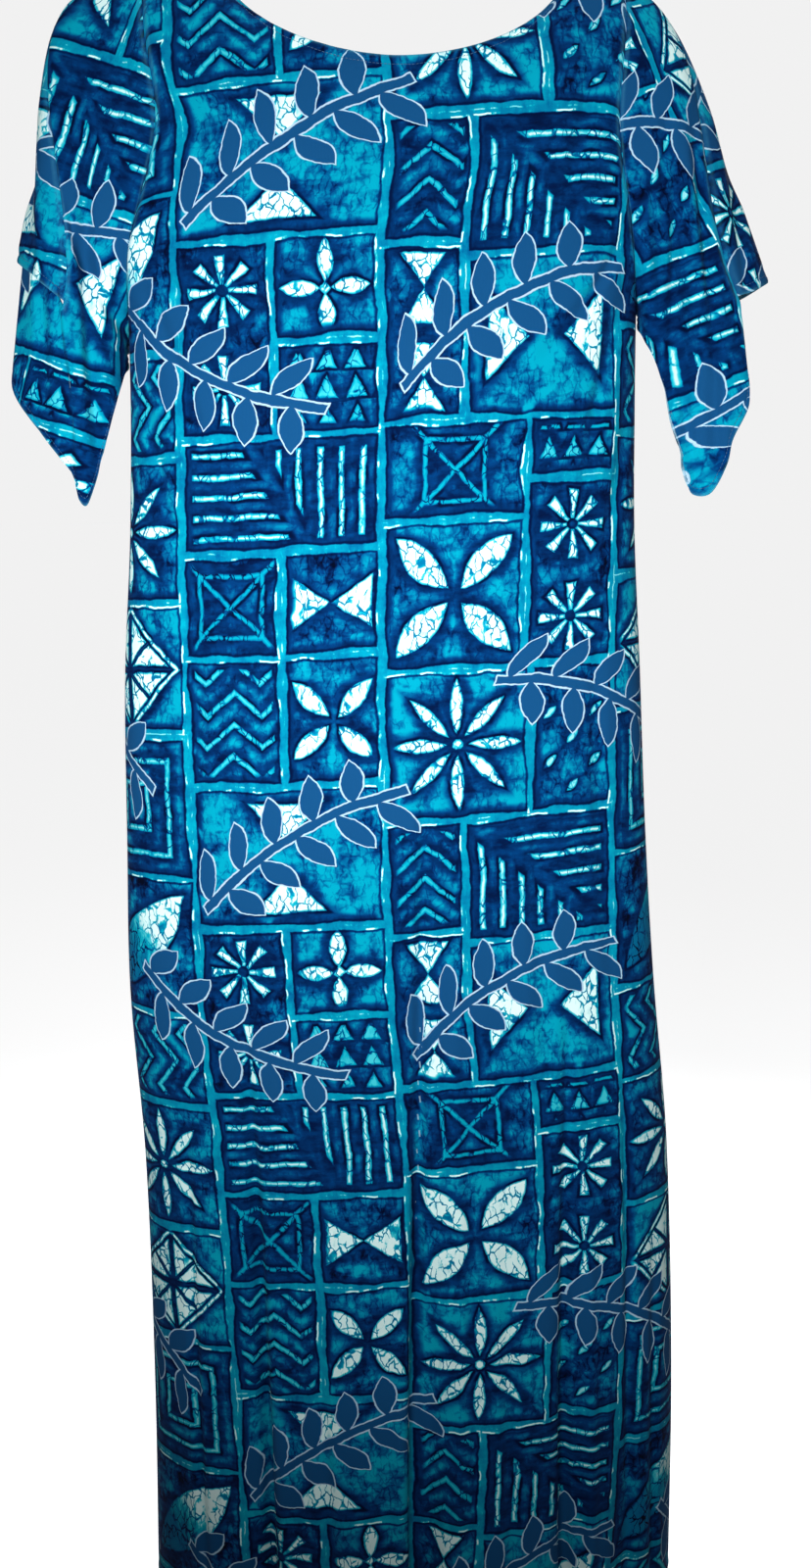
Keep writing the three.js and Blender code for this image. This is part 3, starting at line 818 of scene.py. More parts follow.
print("panel of", SKIRT_ROWS + ARMHOLE_ROWS, "rows and", PANEL_COLUMNS, "columns")

# %% Body panels as shells
SHOULDER_FLAT = 0.5
PRINT_AT = {
    "front": (0, 0),
    "back": (168, 92),
    "sleeve_front_right": (58, 246),
    "sleeve_back_right": (-96, 318),
    "sleeve_front_left": (262, 402),
    "sleeve_back_left": (390, 262),
}


def body_panel(face):
    """The front or the back, cut in one from the shoulders to the hem."""
    across, down = np.meshgrid(panel_across, skirt_down)
    skirt = skirt_surface(face, across, down)
    across, up = np.meshgrid(panel_across, armhole_up)
    points = np.concatenate([skirt, chest_surface(face, across, up)])
    rows, columns = points.shape[:2]
    flat = flat_places(points, SKIRT_ROWS, PANEL_COLUMNS // 2, ARMPIT["right"])
    flat = flat * (-FACING[face], 1) + PRINT_AT[face]
    index = np.arange(rows * columns).reshape(rows, columns)
    at_shoulder = np.abs(points[-1, :, 1]) < SHOULDER_FLAT
    hem, top = from_edge(points, 0), from_edge(points, 0, first=False)
    seam = np.minimum(from_edge(points, 1), from_edge(points, 1, first=False))
    seam = np.minimum(seam, np.where(at_shoulder, top, FAR))
    neck = np.where(at_shoulder, FAR, top)
    band = np.where(hem < neck, BAND["hem"], BAND["neck"])
    points, thickness, wear_and_highlight = worked(face, points, seam, np.minimum(hem, neck), band)
    way = outward(points)
    sewing = []
    hem_columns, neck_columns = np.arange(columns)[1:-1], np.flatnonzero(~at_shoulder)[1:-1]
    for name, edge, crossed in (("hem", hem, hem_columns), ("neck", top, neck_columns)):
        at = BAND[name] - STITCH_INSET
        sewing.append(stitches(*(line_at(grid, edge, at, crossed) for grid in (points, way))))
    into = [(index[:SKIRT_ROWS, 0], (1, 0, 0)), (index[:SKIRT_ROWS, -1], (-1, 0, 0))]
    for side, column in (("right", 0), ("left", -1)):
        into.append((index[SKIRT_ROWS:, column], armhole(side, FACING[face], armhole_up)[1]))
    into.append((index[-1][at_shoulder], (0, 0, -1)))
    quads = grid_quads(index, reverse=face == "back")
    points, flat = points.reshape(-1, 3), flat.reshape(-1, 2)
    return cloth_shell(f"cloth_{face}", points, quads, flat, into, thickness.ravel(), wear_and_highlight.ravel(), sewing)


panels = {face: body_panel(face) for face in ("front", "back")}
print({name: len(piece.data.polygons) for name, piece in panels.items()}, "faces")

# %% The print on a sleeve
GRAIN_LEAN = math.radians(20)
SLEEVE_RADIUS = 52
CUFF_MIDDLE = -250
PAST_SEAM = 2.5


def sleeve_places(side, half, points):
    """Width round a sleeve and height up the arm, along a line that leans out a little."""
    out = OUTWARD[side] * (points[..., 0] - SLEEVES[side]["cuff"]["x"])
    up = points[..., 2] - CUFF_MIDDLE
    turn = np.arctan2(-points[..., 1], out * math.cos(GRAIN_LEAN) + up * math.sin(GRAIN_LEAN))
    if half == "front":
        turn = turn + (turn < -PAST_SEAM) * 2 * math.pi
    else:
        turn = turn - (turn > PAST_SEAM) * 2 * math.pi
    height = up * math.cos(GRAIN_LEAN) - out * math.sin(GRAIN_LEAN)
    shift = PRINT_AT[f"sleeve_{half}_{side}"]
    return np.stack([-OUTWARD[side] * SLEEVE_RADIUS * turn, height], -1) + shift


print("the print leans out", round(math.degrees(GRAIN_LEAN)), "degrees on the sleeves")

# %% [markdown]
# Each sleeve is cut in two halves. The back half ends at the cuff. The front half hangs on below it to a
# point, and where it wraps round the outer side its free top edge lies under the back half, as a facing
# would. One mesh holds both of its parts, because it is one piece of cloth.

# %% Sleeve halves as shells
SLEEVE_ROWS = 60
SLEEVE_DRAWN = 0.55
POINT_ROWS = 36
POINT_DRAWN = 1.6
WRAP_COLUMNS = 24
BACK_CUFF_SHORT = 0.14 / 9
TUCK_INSET = 6
TUCK_RISE = 6


def sleeve_half(side, half):
    """The front or back half of a sleeve, from the armhole to the cuff or the point."""
    name = f"sleeve_{half}_{side}"
    way = 1 if half == "front" else -1
    ring = way * np.arange(ARMHOLE_ROWS + 1) / ARMHOLE_ROWS
    ring, down = np.meshgrid(ring, drawn_to_ends(SLEEVE_ROWS, SLEEVE_DRAWN))
    if half == "back":
        down = down * (1 - BACK_CUFF_SHORT)
    smooth = sleeve_surface(side, ring, down)
    cuff = from_edge(smooth, 0, first=False)
    seam = np.minimum(from_edge(smooth, 1), from_edge(smooth, 1, first=False))
    seam = np.minimum(seam, from_edge(smooth, 0))
    free = cuff if half == "back" else np.full_like(cuff, FAR)
    points, thickness, wear_and_highlight = worked(name, smooth, seam, free, BAND["cuff"])
    index = np.arange(ring.size).reshape(ring.shape)
    seam_up = (1 + np.cos(math.pi * np.abs(ring[0]))) / 2
    into = [(index[0], armhole(side, -way, seam_up)[1])]
    reverse = (half == "back") == (side == "left")
    parts = [points.reshape(-1, 3), thickness.ravel(), wear_and_highlight.ravel(), smooth.reshape(-1, 3)]
    quads = grid_quads(index, reverse)
    if half == "front":
        parts, quads, sewn = add_point(side, name, parts, quads, index, reverse)
    else:
        crossed = range(1, ARMHOLE_ROWS)
        at = BAND["cuff"] - STITCH_INSET
        sewn = [line_at(grid, cuff, at, crossed) for grid in (points, outward(points))]
    points, thickness, wear_and_highlight, smooth = parts
    flat = sleeve_places(side, half, smooth)
    return cloth_shell(f"cloth_{name}", points, quads, flat, into, thickness, wear_and_highlight, [stitches(*sewn)])


def add_point(side, name, parts, quads, index, reverse):
    """Carries the front half on below the cuff to its point, its free top edge tucked behind the back."""
    sleeve = SLEEVES[side]
    angle = mix(sleeve["seam_angle"], 180, np.arange(ARMHOLE_ROWS + 1) / ARMHOLE_ROWS)
    cuff = parts[3][index[-1]]
    hidden_count = 0
    if sleeve["wrap_angle"] < sleeve["seam_angle"]:
        tucked = mix(sleeve["wrap_angle"], sleeve["seam_angle"], np.arange(WRAP_COLUMNS) / WRAP_COLUMNS)
        hidden = cuff_points(side, tucked)
        hidden[:, 0] -= OUTWARD[side] * TUCK_INSET * np.cos(np.radians(tucked))
        hidden[:, 1] += TUCK_INSET * np.sin(np.radians(tucked))
        hidden[:, 2] += TUCK_RISE
        angle = np.concatenate([tucked, angle])
        cuff = np.concatenate([hidden, cuff])
        hidden_count = WRAP_COLUMNS
    around = (angle - sleeve["wrap_angle"]) / (180 - sleeve["wrap_angle"])
    tip = np.stack([read(sleeve["point"], "around", axis, around) for axis in "xyz"], -1)
    share = 1 - np.linspace(1, 0, POINT_ROWS + 1)[:, None, None] ** POINT_DRAWN
    below = mix(cuff[None], tip[None], share)
    along = from_edge(cuff[None], 1)
    beside = np.minimum(np.abs(along - along[0, hidden_count]), along[0, -1] - along)
    edge = from_edge(below, 0, first=False)
    free = edge if hidden_count else np.minimum(edge, from_edge(below, 1))
    seam = np.hypot(beside, from_edge(below, 0))
    points, thickness, wear_and_highlight = worked(name, below, seam, free, BAND["cuff"])
    crossed = range(1, len(cuff) - 1)
    at = BAND["cuff"] - STITCH_INSET
    sewn = [line_at(grid, edge, at, crossed) for grid in (points, outward(points))]
    count = len(parts[0])
    top = np.concatenate([count + np.arange(hidden_count), index[-1]])
    rest = count + hidden_count + np.arange(POINT_ROWS * len(cuff)).reshape(POINT_ROWS, len(cuff))
    added = (points, thickness, wear_and_highlight, below)
    parts = [
        np.concatenate([part, new[0, :hidden_count], new[1:].reshape((-1, *new.shape[2:]))])
        for part, new in zip(parts, added)
    ]
    quads = np.concatenate([quads, grid_quads(np.concatenate([top[None], rest]), reverse)])
    return parts, quads, sewn


sleeves = {}
for side in ("right", "left"):
    for half in ("front", "back"):
        sleeves[f"sleeve_{half}_{side}"] = sleeve_half(side, half)
print({name: len(piece.data.polygons) for name, piece in sleeves.items()}, "faces")

# %% [markdown]
# The print looks cut in blocks and brushed by hand: teal frames round dark blocks, each with a white or
# teal figure, and garlands of plain blue leaves laid over them. A picture of it would be an image
# texture. Here it is worked out instead, as arithmetic on the place of each point on the flat cloth.
# Writing hundreds of Math nodes by hand is slow, so a Field stands for a number on the cloth, and
# arithmetic on it adds the nodes.

# %% Arithmetic that builds nodes
print_tree = bpy.data.node_groups.new("block print", "ShaderNodeTree")
print_tree.interface.new_socket("Place", in_out="INPUT", socket_type="NodeSocketVector")
print_tree.interface.new_socket("Color", in_out="OUTPUT", socket_type="NodeSocketColor")
print_in = print_tree.nodes.new("NodeGroupInput")
print_out = print_tree.nodes.new("NodeGroupOutput")


def feed(socket, value):
    """Links a field or an output to the socket, or sets a plain value on it."""
    if isinstance(value, Field):
        value = value.socket
    if isinstance(value, bpy.types.NodeSocket):
        socket.id_data.links.new(value, socket)
    else:
        socket.default_value = value


def work(operation, *values):
    """One Math node, fed with these values."""
    node = print_tree.nodes.new("ShaderNodeMath")
    node.operation = operation
    for socket, value in zip(node.inputs, values):
        feed(socket, value)
    return Field(node.outputs["Value"])


class Field:
    """A number at every point of the cloth."""

    def __init__(self, socket):
        self.socket = socket

    def __add__(self, other):
        return work("ADD", self, other)

    def __sub__(self, other):
        return work("SUBTRACT", self, other)

    def __rsub__(self, other):
        return work("SUBTRACT", other, self)

    def __mul__(self, other):
        return work("MULTIPLY", self, other)

    def __rmul__(self, other):
        return work("MULTIPLY", other, self)

    def __truediv__(self, other):
        return work("DIVIDE", self, other)

    def __gt__(self, other):
        return work("GREATER_THAN", self, other)

    def __abs__(self):
        return work("ABSOLUTE", self)


def lesser(first, *others):
    for other in others:
        first = work("MINIMUM", first, other)
    return first


def greater(first, *others):
    for other in others:
        first = work("MAXIMUM", first, other)
    return first


def wrapped(value, half):
    """Repeats a length every two halves, from -half to half."""
    return work("WRAP", value, half, -half)


def rise(value, start, end):
    """0 below start, 1 past end and smooth between. It falls instead where start is the larger."""
    node = print_tree.nodes.new("ShaderNodeMapRange")
    node.interpolation_type = "SMOOTHSTEP"
    falls = start > end
    node.inputs["From Min"].default_value = min(start, end)
    node.inputs["From Max"].default_value = max(start, end)
    node.inputs["To Min"].default_value = 1 if falls else 0
    node.inputs["To Max"].default_value = 0 if falls else 1
    feed(node.inputs["Value"], value)
    return Field(node.outputs["Result"])


def blend(first, second, share):
    """first where share is 0 and second where it is 1."""
    return work("MULTIPLY_ADD", work("SUBTRACT", second, first), share, first)


def vector_work(operation, *values):
    """One Vector Math node, fed with these values. Gives its output socket."""
    node = print_tree.nodes.new("ShaderNodeVectorMath")
    node.operation = operation
    for socket, value in zip(node.inputs, values):
        feed(socket, value)
    return node.outputs["Value" if operation == "DOT_PRODUCT" else "Vector"]


def axes(vector):
    """The three numbers of a vector, as fields."""
    node = print_tree.nodes.new("ShaderNodeSeparateXYZ")
    feed(node.inputs[0], vector)
    return [Field(node.outputs[axis]) for axis in "XYZ"]


def noise(place, size, detail=2, stretch=(1, 1, 1), roughness=0.5):
    """A node of soft random patches, about this size in mm, with values from 0 to 1."""
    node = print_tree.nodes.new("ShaderNodeTexNoise")
    node.inputs["Scale"].default_value = 1
    node.inputs["Detail"].default_value = detail
    node.inputs["Roughness"].default_value = roughness
    scaled = vector_work("MULTIPLY", place, tuple(axis / size for axis in stretch))
    feed(node.inputs["Vector"], scaled)
    return node


def swing(*noise_settings, **noise_names):
    """The same patches as a field from -0.5 to 0.5, to push a value both ways."""
    return Field(noise(*noise_settings, **noise_names).outputs["Fac"]) - 0.5


print("fields ready")

# %% [markdown]
# The blocks fill a tile that repeats about twice round the body and every 0.56 m down it. Each row of the
# table is one block: its corner, its size, its figure, whether the figure is turned or stacked in two,
# how light its ground is and how white its figure. The layout and the figures are this script's own:
# leaves, stars, hourglasses, bars, chevrons and teeth, as block printers have always cut them.

# %% The layout of the blocks
TILE = (480, 560)
FIGURES = (
    "leaves cross star dashes hourglass wedges bars squares chevrons diamond brushed_leaf teeth lattice "
    "seeds"
).split()
BLOCKS = table(
    "left low width height figure turned stacked ground white",
    (0, 0, 118, 122, "leaves", 0, 0, 0.42, 1.0),
    (118, 0, 80, 150, "dashes", 0, 1, 0.22, 1.0),
    (0, 122, 118, 78, "lattice", 0, 0, 0.3, 0.8),
    (118, 150, 80, 50, "teeth", 0, 0, 0.3, 0.85),
    (0, 200, 66, 136, "hourglass", 0, 1, 0.3, 1.0),
    (66, 200, 132, 126, "wedges", 0, 0, 0.48, 1.0),
    (66, 326, 132, 108, "bars", 0, 0, 0.34, 0.95),
    (0, 336, 66, 98, "chevrons", 0, 0, 0.36, 0.8),
    (0, 434, 124, 126, "star", 0, 0, 0.5, 1.0),
    (124, 434, 74, 126, "seeds", 0, 0, 0.28, 0.9),
    (198, -46, 116, 112, "diamond", 0, 0, 0.5, 1.0),
    (198, 66, 116, 118, "star", 0, 0, 0.34, 1.0),
    (198, 184, 116, 84, "chevrons", 1, 0, 0.48, 0.85),
    (198, 268, 116, 122, "brushed_leaf", 0, 0, 0.24, 1.0),
    (198, 390, 116, 124, "squares", 0, 0, 0.4, 0.9),
    (314, 18, 84, 86, "lattice", 0, 0, 0.26, 0.75),
    (398, 18, 82, 86, "hourglass", 1, 0, 0.3, 1.0),
    (314, 104, 166, 92, "bars", 1, 0, 0.36, 0.95),
    (314, 196, 80, 152, "dashes", 0, 1, 0.2, 1.0),
    (394, 196, 86, 72, "teeth", 0, 0, 0.34, 0.85),
    (394, 268, 86, 80, "cross", 0, 0, 0.46, 1.0),
    (314, 348, 166, 122, "wedges", 1, 0, 0.45, 1.0),
    (314, 470, 84, 108, "chevrons", 0, 0, 0.4, 0.85),
    (398, 470, 82, 108, "leaves", 0, 0, 0.36, 1.0),
)
TURNED = 100
area = sum(block["width"] * block["height"] for block in BLOCKS) / (TILE[0] * TILE[1])
print(len(BLOCKS), "blocks cover", round(area, 3), "of the tile")

# %% [markdown]
# Before it is looked up on the tile, each place is shifted a little by two soft noises, a slow wobble and
# a fine tremble. That bends every line at once, as a hand does, where straight lines would look drawn by
# rule. A block that crosses the tile's edge is tested twice, once at each end.

# %% Which block a point lies in
WOBBLE = (3.4, 38)
TREMBLE = (1.1, 7)

flat_mm = vector_work("SCALE", Field(print_in.outputs["Place"]))
flat_mm.node.inputs["Scale"].default_value = 1 / MM
shaken = flat_mm
for reach, size in (WOBBLE, TREMBLE):
    hand = noise(flat_mm, size)
    centred = vector_work("SUBTRACT", hand.outputs["Color"], (0.5, 0.5, 0.5))
    shaken = vector_work("MULTIPLY_ADD", centred, (2 * reach,) * 3, shaken)
tile = (TILE[0], TILE[1], 1)
on_tile = vector_work("WRAP", vector_work("MULTIPLY", shaken, (1, 1, 0)), tile, (0, 0, 0))

middle_figure = halves_scale = look = (0, 0, 0)
for block in BLOCKS:
    half_width, half_height = block["width"] / 2, block["height"] / 2
    stack = half_height / 2 if block["stacked"] else 0
    scale = min(half_width, stack or half_height)
    kind = FIGURES.index(block["figure"]) + TURNED * block["turned"]
    over_edge = block["low"] < 0 or block["low"] + block["height"] > TILE[1]
    shifts = (0, math.copysign(TILE[1], -block["low"])) if over_edge else (0,)
    for shift in shifts:
        middle = (block["left"] + half_width, block["low"] + half_height + shift, 0)
        local = vector_work("ABSOLUTE", vector_work("SUBTRACT", on_tile, middle))
        x, y, _ = axes(local)
        inside = lesser(half_width - x, half_height - y) > 0
        middle_figure = vector_work("MULTIPLY_ADD", inside, (*middle[:2], kind), middle_figure)
        halves_scale = vector_work("MULTIPLY_ADD", inside, (half_width, half_height, scale), halves_scale)
        look = vector_work("MULTIPLY_ADD", inside, (stack, block["ground"], block["white"]), look)
_, _, kind = axes(middle_figure)
x, y, _ = axes(vector_work("SUBTRACT", on_tile, middle_figure))
half_width, half_height, scale = axes(halves_scale)
stack, ground, white = axes(look)
lit_edge = lesser(half_width - x, half_height - y)
dark_edge = lesser(half_width + x, half_height + y)
edge = lesser(lit_edge, dark_edge)
turned = kind > TURNED / 2
kind = kind - TURNED * turned
y = blend(y, abs(y) - stack, stack > 0)
x, y = blend(x, y, turned), blend(y, x, turned)
print(len(print_tree.nodes), "nodes so far")

# %% [markdown]
# Every figure is a depth: how far inside it a point lies, in mm, and negative outside. Mirror symmetry
# does most of the drawing: folding the block along its diagonals turns one leaf into four, and one ray
# into eight.

# %% Folded places
DIAGONAL = math.sqrt(0.5)
EIGHTH = math.radians(22.5)

u, v = x / scale, y / scale
side, above = abs(u), abs(v)
far, near = greater(side, above), lesser(side, above)
slant = (side + above) * DIAGONAL
off_slant = abs(side - above) * DIAGONAL
past = greater(near * math.cos(EIGHTH) - far * math.sin(EIGHTH), 0)
ray = far + past * (2 * math.sin(EIGHTH))
off_ray = abs(near - past * (2 * math.cos(EIGHTH)))


def leaf(along, across, start, end, half):
    """A leaf with pointed ends, lying from start to end."""
    share = (along - (start + end) / 2) / ((end - start) / 2)
    return half - share * share * half - abs(across)


# %% The figures
BAR_PITCH = 17
BAR = 2.6
SQUARE_PITCH = 21
CHEVRON = 24
CHEVRON_PITCH = 27
TOOTH = 23
SEED_PITCH = 21

upper = (y / half_height + x / half_width) > 0
bar_line = blend(wrapped(x, BAR_PITCH / 2), wrapped(y, BAR_PITCH / 2), upper)
diagonal_gap = abs(y / half_height + x / half_width) * 0.5 * scale - 5
zigzag = y + abs(wrapped(x, CHEVRON)) * 0.85
tooth_x, tooth_y = wrapped(x, TOOTH / 2), wrapped(y, TOOTH / 2)
seed_x, seed_y = wrapped(x + y, SEED_PITCH), wrapped(x - y, SEED_PITCH)
brushed_along, brushed_across = (u + v) * DIAGONAL, (v - u) * DIAGONAL

depths = {
    "leaves": leaf(slant, off_slant, 0.13, 1.14, 0.2) * scale,
    "cross": greater(leaf(far, near, 0.1, 0.92, 0.17), 0.1 - slant) * scale,
    "star": greater(leaf(ray, off_ray, 0.14, 0.9, 0.09), 0.07 - ray) * scale,
    "dashes": lesser(ray * 0.14 - off_ray + 0.02, ray - 0.12, 0.74 - ray) * scale,
    "hourglass": lesser(above * 0.66 - side, 0.82 - above) * scale,
    "wedges": lesser((side - above - 0.24) * DIAGONAL, 0.78 - side) * scale,
    "bars": lesser(BAR - abs(bar_line), diagonal_gap, edge - 10),
    "squares": lesser(2.5 - abs(wrapped(edge - SQUARE_PITCH, SQUARE_PITCH / 2)), edge - 8),
    "chevrons": lesser(3 - abs(wrapped(zigzag, CHEVRON_PITCH / 2)), edge - 8),
    "diamond": greater(
        lesser(0.82 - side - above, near - 0.05, off_slant * 2 - 0.06), 0.045 - abs(0.92 - side - above)
    ) * scale,
    "brushed_leaf": leaf(brushed_along, brushed_across, -1.1, 1.16, 0.4) * scale,
    "teeth": lesser((TOOTH / 2 - tooth_y) * 0.5 - abs(tooth_x) - 1.5, tooth_y + 9, edge - 8),
    "lattice": greater(0.05 - abs(side - above) * DIAGONAL, 0.05 - abs(0.62 - far)) * scale,
    "seeds": leaf(seed_x, seed_y, -11, 11, 4.2),
}
depth = 0
for index, figure in enumerate(FIGURES):
    chosen = work("COMPARE", kind, index, 0.5)
    depth = work("MULTIPLY_ADD", depths[figure], chosen, depth)
print(len(depths), "figures in", len(print_tree.nodes), "nodes")

# %% [markdown]
# The printer's colours run from near-black through navy, deep blue and teal to white, so one number, the
# lightness of the dye, sets them all. The figure is white with fine dark cracks, where dye crept into the
# resist, a dark halo sets it off, and the ground is brushed in patches of navy and teal with faint veins.
# A teal frame runs round every block, as if it were carved and lit from one corner: a broken white line
# on two of its sides and a dark shadow along the other two. Painting this on a picture would fix it to
# one size of pixel, and worked-out numbers stay sharp however close the camera comes.

# %% Brush marks
BRUSH = {"detail": 4, "roughness": 0.66}

streaks = swing(shaken, 8, stretch=(1, 0.4, 1), **BRUSH)
crossing_streaks = swing(shaken, 9, stretch=(0.35, 1, 1), **BRUSH)
patches = swing(flat_mm, 30, detail=3, roughness=0.55)
dashes = Field(noise(flat_mm, 21, detail=1).outputs["Fac"])
slow = swing(flat_mm, 48, detail=1)
print("brushed with", len(print_tree.nodes), "nodes")

# %% Cracks in the resist
CRACK_SIZE = (6.5, 12)
CRACK_BEND = 9
CRACK_EDGE = (0.085, 0.015)
CRACKED_PATCHES = (0.34, 0.55)
VEIN_EDGE = (0.17, 0.0)
VEIN_DARK = 0.16

cells = print_tree.nodes.new("ShaderNodeTexVoronoi")
cells.feature = "DISTANCE_TO_EDGE"
cells.inputs["Scale"].default_value = 1
crack_bend = vector_work("SUBTRACT", noise(flat_mm, CRACK_BEND).outputs["Color"], (0.5, 0.5, 0.5))
crack_place = vector_work("MULTIPLY_ADD", crack_bend, (CRACK_BEND, CRACK_BEND, 0), shaken)
crack_place = vector_work("MULTIPLY", crack_place, (1 / CRACK_SIZE[0], 1 / CRACK_SIZE[1], 0))
feed(cells.inputs["Vector"], crack_place)
from_crack = Field(cells.outputs["Distance"])
cracked = rise(from_crack, *CRACK_EDGE) * rise(dashes + streaks * 0.6, *CRACKED_PATCHES)
veins = rise(from_crack, *VEIN_EDGE) * VEIN_DARK
print("cracks about", CRACK_SIZE, "mm apart")

# %% Lightness of the ground and the figures
SHADOW = 0.22
LINE_SHADOW = 0.05
LINE_SHADOW_EDGE = (3.4, 1.0)
GROUND_LIGHTER = 0.14
GROUND_MOST = 0.69
GROUND_EDGE = (1.5, 12)
GROUND_UNEVEN = 12
FIGURE_EDGE = (-0.4, 0.6)
FIGURE_RIM = (2.4, 0.2)
FIGURE_RIM_DARK = 0.22
STROKE_EDGE = (-0.045, 0.03)
CROSSING_STROKE_EDGE = (-0.03, 0.05)
SHADOW_PATCHES = (-0.06, 0.1)
LEAF_TAIL = (0.45, -0.35)

outside = 0 - depth
open_ground = rise(outside + patches * GROUND_UNEVEN, *GROUND_EDGE)
strokes = rise(streaks, *STROKE_EDGE) + rise(crossing_streaks, *CROSSING_STROKE_EDGE) - 1
brushed = strokes * 0.07 + streaks * 0.36 + crossing_streaks * 0.36 + patches * 1.4 - veins
halo = crossing_streaks * 0.5 + patches * 0.3 + SHADOW
light = blend(halo, lesser(ground + GROUND_LIGHTER + brushed, GROUND_MOST), open_ground)
light = blend(light, LINE_SHADOW, rise(outside, *LINE_SHADOW_EDGE) * rise(patches, *SHADOW_PATCHES))
inked = white - cracked * 0.5 - rise(depth, *FIGURE_RIM) * FIGURE_RIM_DARK - greater(streaks, 0) * 0.5
is_brushed_leaf = work("COMPARE", kind, FIGURES.index("brushed_leaf"), 0.5)
inked = inked - is_brushed_leaf * rise(brushed_along + streaks * 1.6, *LEAF_TAIL) * 0.5
light = blend(light, inked, rise(depth, *FIGURE_EDGE))
print("figures and ground in", len(print_tree.nodes), "nodes")

# %% Lightness of the frames
FRAME_HALF = 3.3
FRAME_UNEVEN = 8
FRAME_LIGHT = 0.60
FRAME_EDGE = (0.7, -0.7)
FRAME_SHADE = (9.0, 3.0)
FRAME_SHADE_EDGE = (-0.5, 1.0)
FRAME_SHADE_BREAKS = (0.3, 0.42)
FINE_SHADOW = (3.2, 1.2)
FINE_SHADOW_EDGE = (-0.6, 0.8)
FINE_SHADOW_SHARE = 0.7
LIT_LINE = (1.5, 0.3)
LIT_LINE_BREAKS = (0.5, 0.6)
FINE_LINE = (0.9, 0.2)
FINE_LINE_AT = 0.6
FINE_LINE_BREAKS = (0.08, 0.2)
FINE_LINE_SHARE = 0.8
LINE_LIGHT = 0.97

frame_half = slow * FRAME_UNEVEN + FRAME_HALF
past_frame = edge - frame_half
shaded = rise(dark_edge - frame_half, *FRAME_SHADE) * rise(past_frame, *FRAME_SHADE_EDGE)
light = blend(light, streaks * 0.4 + SHADOW, shaded * rise(dashes, *FRAME_SHADE_BREAKS))
fine_shadow = rise(past_frame, *FINE_SHADOW) * rise(past_frame, *FINE_SHADOW_EDGE)
light = blend(light, LINE_SHADOW, fine_shadow * FINE_SHADOW_SHARE)
frame_light = streaks * 0.45 + crossing_streaks * 0.3 + patches * 0.4 + FRAME_LIGHT
light = blend(light, frame_light, rise(past_frame, *FRAME_EDGE))
lit_line = rise(abs(lit_edge - frame_half * 0.8), *LIT_LINE)
lit_line = lit_line * rise(dashes + streaks * 0.5, *LIT_LINE_BREAKS)
fine_line = rise(abs(dark_edge - FINE_LINE_AT), *FINE_LINE)
fine_line = fine_line * rise(slow + streaks, *FINE_LINE_BREAKS) * FINE_LINE_SHARE
light = blend(light, LINE_LIGHT, greater(lit_line, fine_line))
print("frames of", 2 * FRAME_HALF, "mm")

# %% The dyes
DYES = (
    (0.0, (0.000, 0.0015, 0.010)),
    (0.14, (0.000, 0.007, 0.045)),
    (0.30, (0.000, 0.032, 0.136)),
    (0.46, (0.000, 0.100, 0.240)),
    (0.60, (0.000, 0.205, 0.335)),
    (0.76, (0.000, 0.330, 0.440)),
    (0.87, (0.050, 0.480, 0.560)),
    (0.97, (0.620, 0.820, 0.810)),
)
dye = print_tree.nodes.new("ShaderNodeValToRGB")
feed(dye.inputs["Fac"], light)
stops = dye.color_ramp.elements
while len(stops) < len(DYES):
    stops.new(0.5)
for stop, (position, color) in zip(stops, DYES):
    stop.position = position
    stop.color = (*color, 1)
print([round(stop.position, 2) for stop in stops])


# %% Painting one colour over another
def paint(tree, under, over, share):
    """A Mix node that lays one colour over another, wholly where the share is 1."""
    node = tree.nodes.new("ShaderNodeMix")
    node.data_type = "RGBA"
    feed(node.inputs["Factor"], share)
    feed(node.inputs["A"], under)
    feed(node.inputs["B"], over)
    return node.outputs["Result"]


print("paint ready")

# %% [markdown]
# Over the blocks lie arcs of plain blue fern with a fine white outline, in four places on the tile. Each
# is a stem with leaves on both sides. A repeat along the stem gives all the leaves at once, and it is cut
# off between two leaves.

# %% Arcs of fern
FERNS = table(
    "x y angle bow",
    (98, 292, 25, 20),
    (338, 246, -28, -16),
    (404, 428, 29, 14),
    (196, 528, -24, 18),
)
LEAF_PITCH = 37
PAIRS = 5
LEAF_LENGTH = 40
LEAF_HALF_WIDTH = 10.5
LEAF_LEAN = 0.42
STEM_HALF = 4.5
LEAF_EDGE = (-0.3, 0.3)
OUTLINE_AT = 0.2
OUTLINE = (0.95, 0.4)
LEAF_BLUE = (0.0050, 0.058, 0.165, 1)
LEAF_LINE = (0.34, 0.52, 0.66, 1)

half_tile = (TILE[0] / 2, TILE[1] / 2, 1)
fern_half = LEAF_PITCH * PAIRS / 2
fern = -LEAF_PITCH
for arc in FERNS:
    turn = math.radians(arc["angle"])
    place = vector_work("SUBTRACT", on_tile, (arc["x"], arc["y"], 0))
    place = vector_work("WRAP", place, half_tile, tuple(-half for half in half_tile))
    along = Field(vector_work("DOT_PRODUCT", place, (math.cos(turn), math.sin(turn), 0)))
    across = Field(vector_work("DOT_PRODUCT", place, (-math.sin(turn), math.cos(turn), 0)))
    share = along / fern_half
    across = across + share * share * arc["bow"]
    leant = along - abs(across) * LEAF_LEAN
    staggered = leant + (across > 0) * (LEAF_PITCH / 2)
    beside = wrapped(staggered, LEAF_PITCH / 2)
    blade = leaf(abs(across), beside, 1, LEAF_LENGTH, LEAF_HALF_WIDTH)
    blade = lesser(blade, fern_half - abs(staggered))
    stem = lesser(STEM_HALF - abs(across), fern_half + LEAF_PITCH / 4 - abs(along))
    fern = greater(blade, stem, fern)
printed = paint(print_tree, dye.outputs["Color"], LEAF_BLUE, rise(fern, *LEAF_EDGE))
